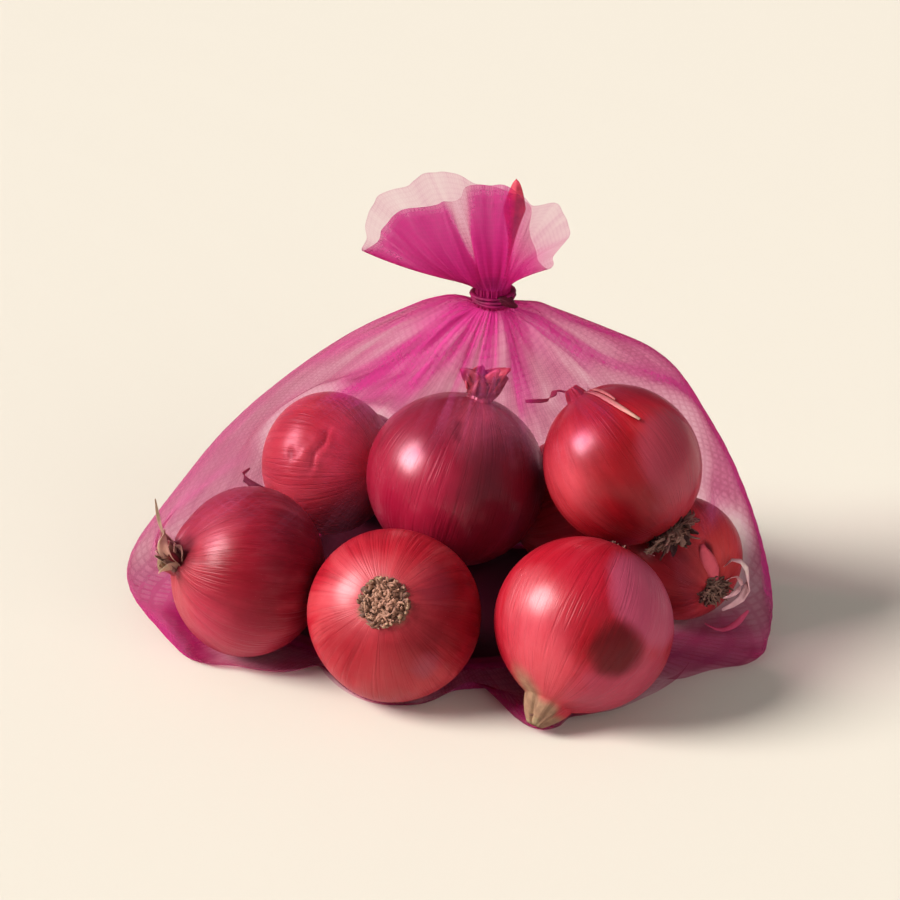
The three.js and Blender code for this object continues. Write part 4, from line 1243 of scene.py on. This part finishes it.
def frill(turn, share):
    """Points and layers of the frill, from the neck (share 0) to the hem (share 1)."""
    root = neck_ring(turn, np.zeros_like(turn))
    edge = hem(turn)
    a = turn * TAU
    upright = np.clip(np.cos(a), 0, 1) ** 2
    flare, climb = share ** (FRILL_FLARE + 0.75 * upright), share ** (FRILL_RISE - 0.35 * upright)
    points = root * (1 - flare[:, None]) + edge * flare[:, None]
    points[:, 2] = root[:, 2] * (1 - climb) + edge[:, 2] * climb
    out = points - NECK
    out[:, 2] *= 0.3
    out /= np.maximum(np.linalg.norm(out, axis=1), 1e-6)[:, None]
    open_ = step(share, 0.05, 0.9)
    wave = (1.3 * np.sin(9 * a + 0.8 * np.sin(2 * a)) + 0.7 * np.sin(17 * a + 1.3)) * open_
    wave += 0.4 * np.sin(33 * a + 2 * np.sin(3 * a)) * step(share, 0.02, 0.35) * (1 - 0.6 * share)
    points = points + out * wave[:, None]
    away = np.linalg.norm(points - NECK, axis=1)
    turns, layers = np.array(FRILL_LAYERS).T
    layers = np.interp(turn % 1.0, turns, layers)
    thin = 1 - 0.22 * step(share, 0.3, 0.85) - 0.45 * step(share + 0.02 * streaks(turn, 1.0), 0.88, 1.0)
    gather = 1.0 + (layers - 1.0) * thin * step(share, 0.0, 0.12)
    gap = np.exp(-((turn - FRILL_GAP) / (0.004 + 0.024 * step(share, 0.3, 0.95))) ** 4) * step(share, 0.3, 0.5)
    gather = gather * (1 - gap) + 0.35 * gap
    gather += 11.0 * np.exp(-away / 9.0) + 1.2 * np.exp(-away / 20.0)
    gather *= 1 + 0.30 * streaks(turn, 2.0) * (1 - 0.5 * share)
    gather += 0.3 * step(share, 0.985, 1.0)
    return points, np.maximum(gather, 0.5)


def net_grid(name, rows, surface, tall):
    """A grid of cloth laid on a surface, closed round the neck, with its flat size as its map."""
    bm = bmesh.new()
    bmesh.ops.create_grid(bm, x_segments=NET_COLUMNS, y_segments=rows, size=0.5)
    mesh = mesh_from(name, bm)
    flat = coordinates(mesh)
    turn, share = flat[:, 0] + 0.5, flat[:, 1] + 0.5
    points, gather = surface(turn, share)
    points[turn > 1 - 1e-6] = points[turn < 1e-6][np.argsort(share[turn < 1e-6])][
        np.argsort(np.argsort(share[turn > 1 - 1e-6]))]
    loops = np.empty(len(mesh.loops), dtype=int)
    mesh.loops.foreach_get("vertex_index", loops)
    cloth = mesh.uv_layers.new(name="cloth")
    size = np.stack((turn * CLOTH_ROUND, share * tall), axis=1) * MM
    cloth.data.foreach_set("uv", size[loops].ravel())
    store(mesh, "gather", gather)
    set_coordinates(mesh, place(points))
    bm = bmesh.new()
    bm.from_mesh(mesh)
    weld(bm, CLOTH_WELD)
    bpy.data.meshes.remove(mesh)
    return mesh_object(name, bm)


# ---- The tie -----------------------------------------------------------------------------------------

def tie_band(name):
    """Three uneven turns of a soft strip round the neck."""
    bm = bmesh.new()
    count = 200
    path = []
    for i in range(count + 1):
        s = i / count
        a = TAU * 3 * s - 0.9
        r = (TIE_INNER + TIE_OUTER) / 2 - 0.25 + 0.2 * math.sin(2.3 * a)
        z = TIE_HEIGHT * (0.34 - 0.68 * s) + 0.25 * math.sin(1.7 * a)
        path.append(NECK + (r * math.cos(a), r * math.sin(a), z))
    sweep(bm, path, [0.95 + 0.15 * math.sin(5 * k / 30) for k in range(count + 1)], sides=10, flat=0.62)
    weld(bm, SEAM_WELD)
    obj = mesh_object(name, bm)
    move_into_frame(obj)
    return obj


def tie_knot(name):
    """The flat knot: the strip's loops drawn tight over each other."""
    bm = bmesh.new()
    at = NECK + (TIE_OUTER * 0.60, -TIE_OUTER * 0.70, -0.4)
    for k in range(5):
        loop = []
        for i in range(17):
            a = TAU * i / 16
            loop.append(at + ((1.6 + 0.4 * k) * math.cos(a + k), 0.5 * math.sin(2 * a + k) - 0.5 * (k - 2),
                              1.5 * math.sin(a + 0.7 * k)))
        sweep(bm, loop, [0.85] * 17, sides=8)
    weld(bm, SEAM_WELD)
    obj = mesh_object(name, bm)
    move_into_frame(obj)
    return obj


def tie_tail(name):
    """The free end of the tie: a strip folded along its middle that ends in a point."""
    rows, across = 40, 12
    bm = bmesh.new()
    bmesh.ops.create_grid(bm, x_segments=across, y_segments=rows, size=0.5)
    for v in bm.verts:
        u, s = v.co.x * 2, v.co.y + 0.5
        wide = 0.16 + 0.84 * min(max((s - 0.35) / 0.37, 0), 1) ** 1.5
        if s > 0.72:
            wide *= math.sqrt(max(1 - ((s - 0.72) / 0.28) ** 2, 0)) * 0.5 + 0.5 * (1 - (s - 0.72) / 0.28)
        x = u * wide * TAIL_WIDTH / 2 + 4.8 + 0.1 * s * TAIL_LENGTH + 0.8 * math.sin(3 * s) * 0.5
        fold = -1.6 * (1 - abs(u)) * wide + 0.35 * math.sin(9 * s + u)
        y = TIE_OUTER - 1.1 + 0.33 * s * TAIL_LENGTH * 0.97 + fold
        v.co = Vector(NECK) + Vector((x, y, s * TAIL_LENGTH * 0.955 - 1.0))
    obj = mesh_object(name, bm)
    move_into_frame(obj)
    thicken(obj, 0.5 * MM)
    return obj


# ---- Stage -------------------------------------------------------------------------------------------

def aim(obj, at, to):
    """Puts a light or the camera at a place and points it at another."""
    obj.location = Vector(at)
    obj.rotation_mode = "QUATERNION"
    obj.rotation_quaternion = (Vector(to) - Vector(at)).to_track_quat("-Z", "Y")


def add_sun(name, way, energy, angle, colour, glossy):
    light = bpy.data.lights.new(name, "SUN")
    light.energy = energy
    light.angle = math.radians(angle)
    light.color = colour
    obj = add_object(name, light)
    aim(obj, Vector(way), (0, 0, 0))
    obj.visible_glossy = glossy


def add_soft_box(name, way, distance, size, energy, colour):
    """A square light that shows only as a highlight."""
    light = bpy.data.lights.new(name, "AREA")
    light.shape = "SQUARE"
    light.size = size
    light.energy = energy
    light.color = colour
    obj = add_object(name, light)
    middle = Vector(place(HEART))
    aim(obj, middle + Vector(way).normalized() * distance, middle)
    obj.visible_diffuse = False
    obj.visible_camera = False


def add_camera():
    """The camera in front of the net, a little above it."""
    data = bpy.data.cameras.new("camera")
    data.lens = CAMERA_LENS
    data.clip_start, data.clip_end = 0.05, 50
    obj = add_object("camera", data)
    target = place(CAMERA_TARGET)
    aim(obj, target + VIEW_BACK * CAMERA_DISTANCE * MM, target)
    bpy.context.scene.camera = obj


def add_floor(colour):
    """A plain floor, wider than the picture."""
    bm = bmesh.new()
    bmesh.ops.create_grid(bm, x_segments=1, y_segments=1, size=4.0)
    mesh = mesh_from("floor", bm)
    obj = add_object("floor", mesh)
    material, _, shader = new_material("floor")
    shader.inputs["Base Color"].default_value = rgba(colour)
    shader.inputs["Roughness"].default_value = 0.9
    shader.inputs["Specular IOR Level"].default_value = 0.1
    mesh.materials.append(material)


# ---- Settings ----------------------------------------------------------------------------------------

def colour_property(name, description, default):
    return bpy.props.FloatVectorProperty(
        name=name, description=description, default=default, size=3, min=0.0, max=1.0, subtype="COLOR")


class NetSettings(bpy.types.PropertyGroup):
    """Looks of the net and its tie."""

    cover: bpy.props.FloatProperty(
        name="Thread Cover", description="Share of a single smooth layer that its threads cover",
        default=0.12, min=0.0, max=1.0, subtype="FACTOR")
    edge: bpy.props.FloatProperty(
        name="Edge Density", description="How many layers more the net counts for when seen edge on",
        default=1.3, min=0.0, max=8.0)
    cell: bpy.props.FloatProperty(
        name="Cell Size", description="Spacing of the net's ribs in millimetres",
        default=2.7, min=0.5, max=10.0)
    thin_tint: colour_property(
        "Thin Tint", "What one layer lets through of each colour where there are few", (0.905, 0.705, 0.795))
    tint: colour_property(
        "Tint", "What one layer lets through of each colour where there are many", (0.945, 0.705, 0.85))
    thin_tone: colour_property(
        "Thin Colour", "Colour of the threads where the net is a single layer", (0.52, 0.15, 0.28))
    tone: colour_property(
        "Net Colour", "Colour of the net where it is lightly gathered", (0.60, 0.02, 0.235))
    deep_tone: colour_property(
        "Gathered Colour", "Colour of the net where it is tightly gathered", (0.30, 0.003, 0.085))
    # Painted shade: the near black that the net turns where it counts for more than fifteen layers, which only the
    # sheet on the floor under the onions does.
    underside_shade_tone: colour_property(
        "Underside Shade Colour", "Colour of the cloth bunched under the onions", (0.05, 0.002, 0.012))
    # Painted shade: the band is the same red strip as the free end, painted darker and more purple.
    band_shade_tone: colour_property(
        "Tie Colour", "Colour of the strip round the neck", (0.30, 0.004, 0.085))
    # Painted shade: the knot is the same red strip, painted near black.
    knot_shade_tone: colour_property(
        "Knot Colour", "Colour of the drawn knot", (0.09, 0.002, 0.018))
    tail_tone: colour_property(
        "Tie End Colour", "Colour of the free end of the strip", (0.62, 0.06, 0.10))


class OnionSettings(bpy.types.PropertyGroup):
    """Looks of the onions."""

    gloss: bpy.props.FloatProperty(
        name="Skin Gloss", description="Strength of the thin waxy gloss on the skin",
        default=0.25, min=0.0, max=1.0, subtype="FACTOR")
    vein_depth: bpy.props.FloatProperty(
        name="Vein Depth", description="How strongly the veins stand up",
        default=0.35, min=0.0, max=1.0, subtype="FACTOR")
    husk_light: colour_property(
        "Husk Light", "Lightest colour of dry roots and necks", (0.37, 0.225, 0.13))
    husk_dark: colour_property(
        "Husk Dark", "Darkest colour of dry roots and necks", (0.07, 0.03, 0.018))


class StageSettings(bpy.types.PropertyGroup):
    """Floor and lights."""

    floor_tone: colour_property(
        "Floor Colour", "Colour of the plain floor", (0.64, 0.59, 0.51))
    key: bpy.props.FloatProperty(
        name="Key Light", description="Strength of the light from the left", default=6.0, min=0.0, max=30.0)
    side: bpy.props.FloatProperty(
        name="Side Light", description="Strength of the weak light from the right", default=1.1, min=0.0, max=20.0)
    box: bpy.props.FloatProperty(
        name="Soft Box", description="Power in watts of the square highlight", default=56.0, min=0.0, max=100.0,
        unit="POWER")
    fill: bpy.props.FloatProperty(
        name="Fill Light", description="Strength of the even light from all round", default=0.27, min=0.0, max=5.0)


# ---- Operators ---------------------------------------------------------------------------------------

class ONIONNET_OT_onions(bpy.types.Operator):
    """Build the ten onions"""

    bl_idname = "onionnet.onions"
    bl_label = "Onions"

    def execute(self, context):
        settings = context.scene.onion_looks
        for seed, (name, onion) in enumerate(ONIONS.items(), start=1):
            onion_body(name, onion, seed, settings)
        return {"FINISHED"}


class ONIONNET_OT_roots(bpy.types.Operator):
    """Build the root plates and the dry necks of the onions"""

    bl_idname = "onionnet.roots"
    bl_label = "Roots and Necks"

    def execute(self, context):
        settings = context.scene.onion_looks
        husk = husk_material("dry_root", settings.husk_light, settings.husk_dark)
        olive, dry_neck, crimson = [husk_material(n, *DRY_SKINS[n]) for n in ("olive_root", "dry_neck", "torn_neck")]
        made = [
            (root_mat("middle_low", 11, 420, 0.68, 5.5), husk),
            (root_mat("right_high", 12, 300, 0.6, 12.0, 0.9, (0.7, -0.4, 0.25), 1.7), olive),
            (root_mat("right_back", 13, 170, 0.5, 6.0, 0.4, (0, 0, -0.2), 1.2), olive),
        ]
        for seed, name in enumerate(("left_low", "right_low", "left_high", "middle_high", "back_middle",
                                     "back_right", "back_left"), start=20):
            if name == "right_low":
                made.append((root_mat(name, seed, 60, 0.35, 2.5, 0.0), olive))
            else:
                made.append((root_mat(name, seed, 170, 0.5, 5.0), husk))
        for seed, name in enumerate(("back_right", "back_left"), start=40):
            onion = ONIONS[name]
            tip = root_point(onion, 1, 1 + onion["neck_length"] / onion["along"])
            strips = tuft(tip, onion["neck"], seed, onion["neck_radius"], 9, 4.5, 1.6, 0.2)
            made.append((ribbons("neck_" + name, strips), dry_neck))
        top = ONIONS["middle_high"]
        strips = tuft(root_point(top, 1, 1.08), top["neck"], 61, 4.8, 9, 14.5, 5.6, 0.65)
        strips += tuft(root_point(top, 1, 1.12), top["neck"], 67, 2.6, 6, 13.5, 4.6, 0.3)
        made.append((ribbons("neck_middle_high", strips, 0.8), crimson))
        root = root_point(ONIONS["right_high"], -1, 1.0) + (3.0, -1.5, 0.5)
        hanging = tuft(root, (0.35, -0.55, -0.5), 83, 4.5, 16, 9.0, 2.4, 0.5)
        made.append((ribbons("roots_hanging", hanging, 0.5), olive))
        tip = np.array((-105.0, -3.0, 45.5))
        strips = tuft(tip, (-0.70, -0.15, 0.68), 71, 4.8, 12, 10.0, 3.4, 0.35)
        strips += tuft(tip, (-0.55, -0.25, 0.75), 73, 2.4, 6, 10.5, 2.2, 0.2)
        blade = [(-103, -5, 45), (-107, -7, 50), (-109, -7.5, 56), (-108, -7, 62)]
        wisp = [(-108.0, -7, 59), (-109.5, -7, 64), (-110.3, -7, 69), (-110.8, -7, 75)]
        strips += [(blade, (2.4, 3.2, 2.8, 1.6, 0.4), 0.9, None, 0.9), (wisp, (0.9, 0.8, 0.6, 0.25), 0.7, None, 1.5)]
        made.append((ribbons("neck_left_low", strips), dry_neck))
        low = ONIONS["right_low"]
        tip = root_point(low, 1, 1 + 0.55 * low["neck_length"] / low["along"]) + (-1, -0.5, 0.5)
        made.append((ribbons("neck_right_low", tuft(tip, low["neck"], 51, 3.2, 8, 4.5, 1.8, 0.0)), husk))
        for obj, material in made:
            obj.data.materials.append(material)
        return {"FINISHED"}


class ONIONNET_OT_husks(bpy.types.Operator):
    """Build the loose dry skins between the onions"""

    bl_idname = "onionnet.husks"
    bl_label = "Loose Skins"

    def execute(self, context):
        pale, white, red, salmon = [husk_material(n, *DRY_SKINS[n]) for n in (
            "pale_husk", "white_husk", "red_husk", "peeled_husk")]
        top, back = ONIONS["right_high"], ONIONS["right_back"]
        straw = skin_line(top, 0.7, (-0.46, 0.88), (-0.32, 0.86), (-0.16, 0.76), (0.0, 0.65), (0.15, 0.55))
        straw_two = skin_line(top, 1.3, (-0.42, 0.9), (-0.32, 0.89), (-0.22, 0.84), (-0.13, 0.77))
        thread = [root_point(top, 1, 1.06), root_point(top, 1, 1.12) + (-6, 0.5, 0), (38, 28, 99.5), (29, 29, 98)]
        wisp = [(-68, 56, 44), (-75, 52, 47), (-80, 49, 51), (-83, 48, 55), (-80, 50, 57)]
        wisp_two = [(-70, 55, 45), (-77, 50, 45), (-84, 46, 44), (-88, 44, 41)]
        petal = skin_line(back, 0.6, (0.24, 0.24), (0.30, 0.1), (0.38, -0.05), (0.46, -0.22), (0.5, -0.34))
        curl_up = [(107, 12, 34), (111, 12, 38), (116, 12, 34), (117, 11, 27), (114, 10, 20), (107, 9, 16)]
        curl_in = [(108, 10, 29), (112, 10, 31), (114, 10, 27), (111, 9, 23), (107, 8, 22)]
        curl_low = [(100, 4, 13), (106, 3, 11), (112, 4, 13), (117, 7, 17)]
        pieces = (
            ("straw", pale, 0.16, ((straw, (0.4, 1.3, 1.4, 1.2, 0.5), 0.95, None, 0.6),
                                   (straw_two, (0.2, 0.7, 0.6, 0.3), 0.7, None, 1.2))),
            ("neck_thread", red, 0.16, ((thread, (2.0, 2.0, 1.7, 1.4, 0.8), 0.5, None, 1.0),
                                        (wisp, (0.4, 1.3, 1.5, 1.2, 0.6), 0.6, None, 2.0),
                                        (wisp_two, (0.4, 0.9, 0.7, 0.3), 0.4, None, -1.5))),
            ("peeled_strip", salmon, 0.4, ((petal, (0.8, 2.6, 3.4, 3.0, 1.0), 0.9, seen(0.4, 0), 0.1),)),
            ("white_husks", white, 0.16, ((curl_up, (0.5, 1.3, 1.7, 1.6, 1.3, 0.5), 0.95, None, 2.2),
                                          (curl_in, (0.4, 1.0, 1.1, 0.9, 0.3), 0.8, None, -1.8))),
            ("red_strip", red, 0.16, ((curl_low, (0.6, 1.5, 1.5, 0.5), 0.8, None, 0.8),)),
        )
        for name, material, thickness, strips in pieces:
            ribbons(name, strips, thickness).data.materials.append(material)
        return {"FINISHED"}


class ONIONNET_OT_net(bpy.types.Operator):
    """Build the sheer net with its neck and frill"""

    bl_idname = "onionnet.net"
    bl_label = "Net"

    def execute(self, context):
        material = net_material(context.scene.net_looks)
        parts = (("net_belly", BELLY_ROWS, belly, BELLY_LENGTH), ("net_frill", FRILL_ROWS, frill, FRILL_LENGTH),
                 ("net_neck", NECK_ROWS, neck, NECK_HEIGHT))
        for name, rows, surface, tall in parts:
            obj = net_grid(name, rows, surface, tall)
            obj.data.materials.append(material)
            if name == "net_belly":
                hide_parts("net_bag")
        return {"FINISHED"}


class ONIONNET_OT_tie(bpy.types.Operator):
    """Build the strip that ties the neck and its free end"""

    bl_idname = "onionnet.tie"
    bl_label = "Tie"

    def execute(self, context):
        looks = context.scene.net_looks
        band = tie_band("tie_band")
        # The band takes its painted shade colour; the free end below keeps the strip's own red.
        band.data.materials.append(tie_material("tie_strip", looks.band_shade_tone, [0.4 * c for c in looks.band_shade_tone]))
        tail = tie_tail("tie_tail")
        tail.data.materials.append(tie_material("tie_end", looks.tail_tone, [0.6 * c for c in looks.tail_tone]))
        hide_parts("net_tie")
        knot = tie_knot("tie_knot")
        # The knot takes its near black painted shade colour.
        knot.data.materials.append(tie_material("tie_drawn", looks.knot_shade_tone, [0.4 * c for c in looks.knot_shade_tone]))
        return {"FINISHED"}


class ONIONNET_OT_stage(bpy.types.Operator):
    """Build the plain floor, the soft lights and the camera"""

    bl_idname = "onionnet.stage"
    bl_label = "Stage"

    def execute(self, context):
        scene = context.scene
        settings = scene.stage_looks
        add_camera()
        add_floor(settings.floor_tone)
        add_sun("key", (-0.80, -0.15, 0.56), settings.key, 27, (1.0, 0.98, 0.95), False)
        add_sun("side", (0.55, -0.75, 0.38), settings.side, 50, (1.0, 1.0, 1.0), False)
        add_soft_box("soft_box", (-0.80, -0.10, 0.58), 1.2, 0.55, settings.box, (1.0, 0.94, 0.84))
        world = bpy.data.worlds.new("even_light")
        world.use_nodes = True
        world.node_tree.nodes["Background"].inputs["Color"].default_value = (1.0, 1.0, 1.0, 1.0)
        world.node_tree.nodes["Background"].inputs["Strength"].default_value = settings.fill
        scene.world = world
        scene.view_settings.view_transform = "Standard"
        scene.cycles.transparent_max_bounces = 48
        return {"FINISHED"}


STEPS = (ONIONNET_OT_stage, ONIONNET_OT_onions, ONIONNET_OT_roots, ONIONNET_OT_husks, ONIONNET_OT_net,
         ONIONNET_OT_tie)


class ONIONNET_PT_steps(bpy.types.Panel):
    """Lists the steps and their settings"""

    bl_idname = "ONIONNET_PT_steps"
    bl_label = "Onion Net"
    bl_space_type = "VIEW_3D"
    bl_region_type = "UI"
    bl_category = "Onion Net"

    def draw(self, context):
        layout = self.layout
        for cls in STEPS:
            layout.operator(cls.bl_idname)
        for looks in (context.scene.net_looks, context.scene.onion_looks, context.scene.stage_looks):
            box = layout.box()
            for prop in looks.__annotations__:
                box.prop(looks, prop)


CLASSES = (NetSettings, OnionSettings, StageSettings, *STEPS, ONIONNET_PT_steps)


def register():
    for cls in CLASSES:
        bpy.utils.register_class(cls)
    bpy.types.Scene.net_looks = bpy.props.PointerProperty(type=NetSettings)
    bpy.types.Scene.onion_looks = bpy.props.PointerProperty(type=OnionSettings)
    bpy.types.Scene.stage_looks = bpy.props.PointerProperty(type=StageSettings)


def unregister():
    del bpy.types.Scene.net_looks
    del bpy.types.Scene.onion_looks
    del bpy.types.Scene.stage_looks
    for cls in reversed(CLASSES):
        bpy.utils.unregister_class(cls)


def main():
    register()
    bpy.ops.onionnet.stage()
    bpy.ops.onionnet.onions()
    bpy.ops.onionnet.roots()
    bpy.ops.onionnet.husks()
    bpy.ops.onionnet.net()
    bpy.ops.onionnet.tie()


if __name__ == "__main__":
    main()
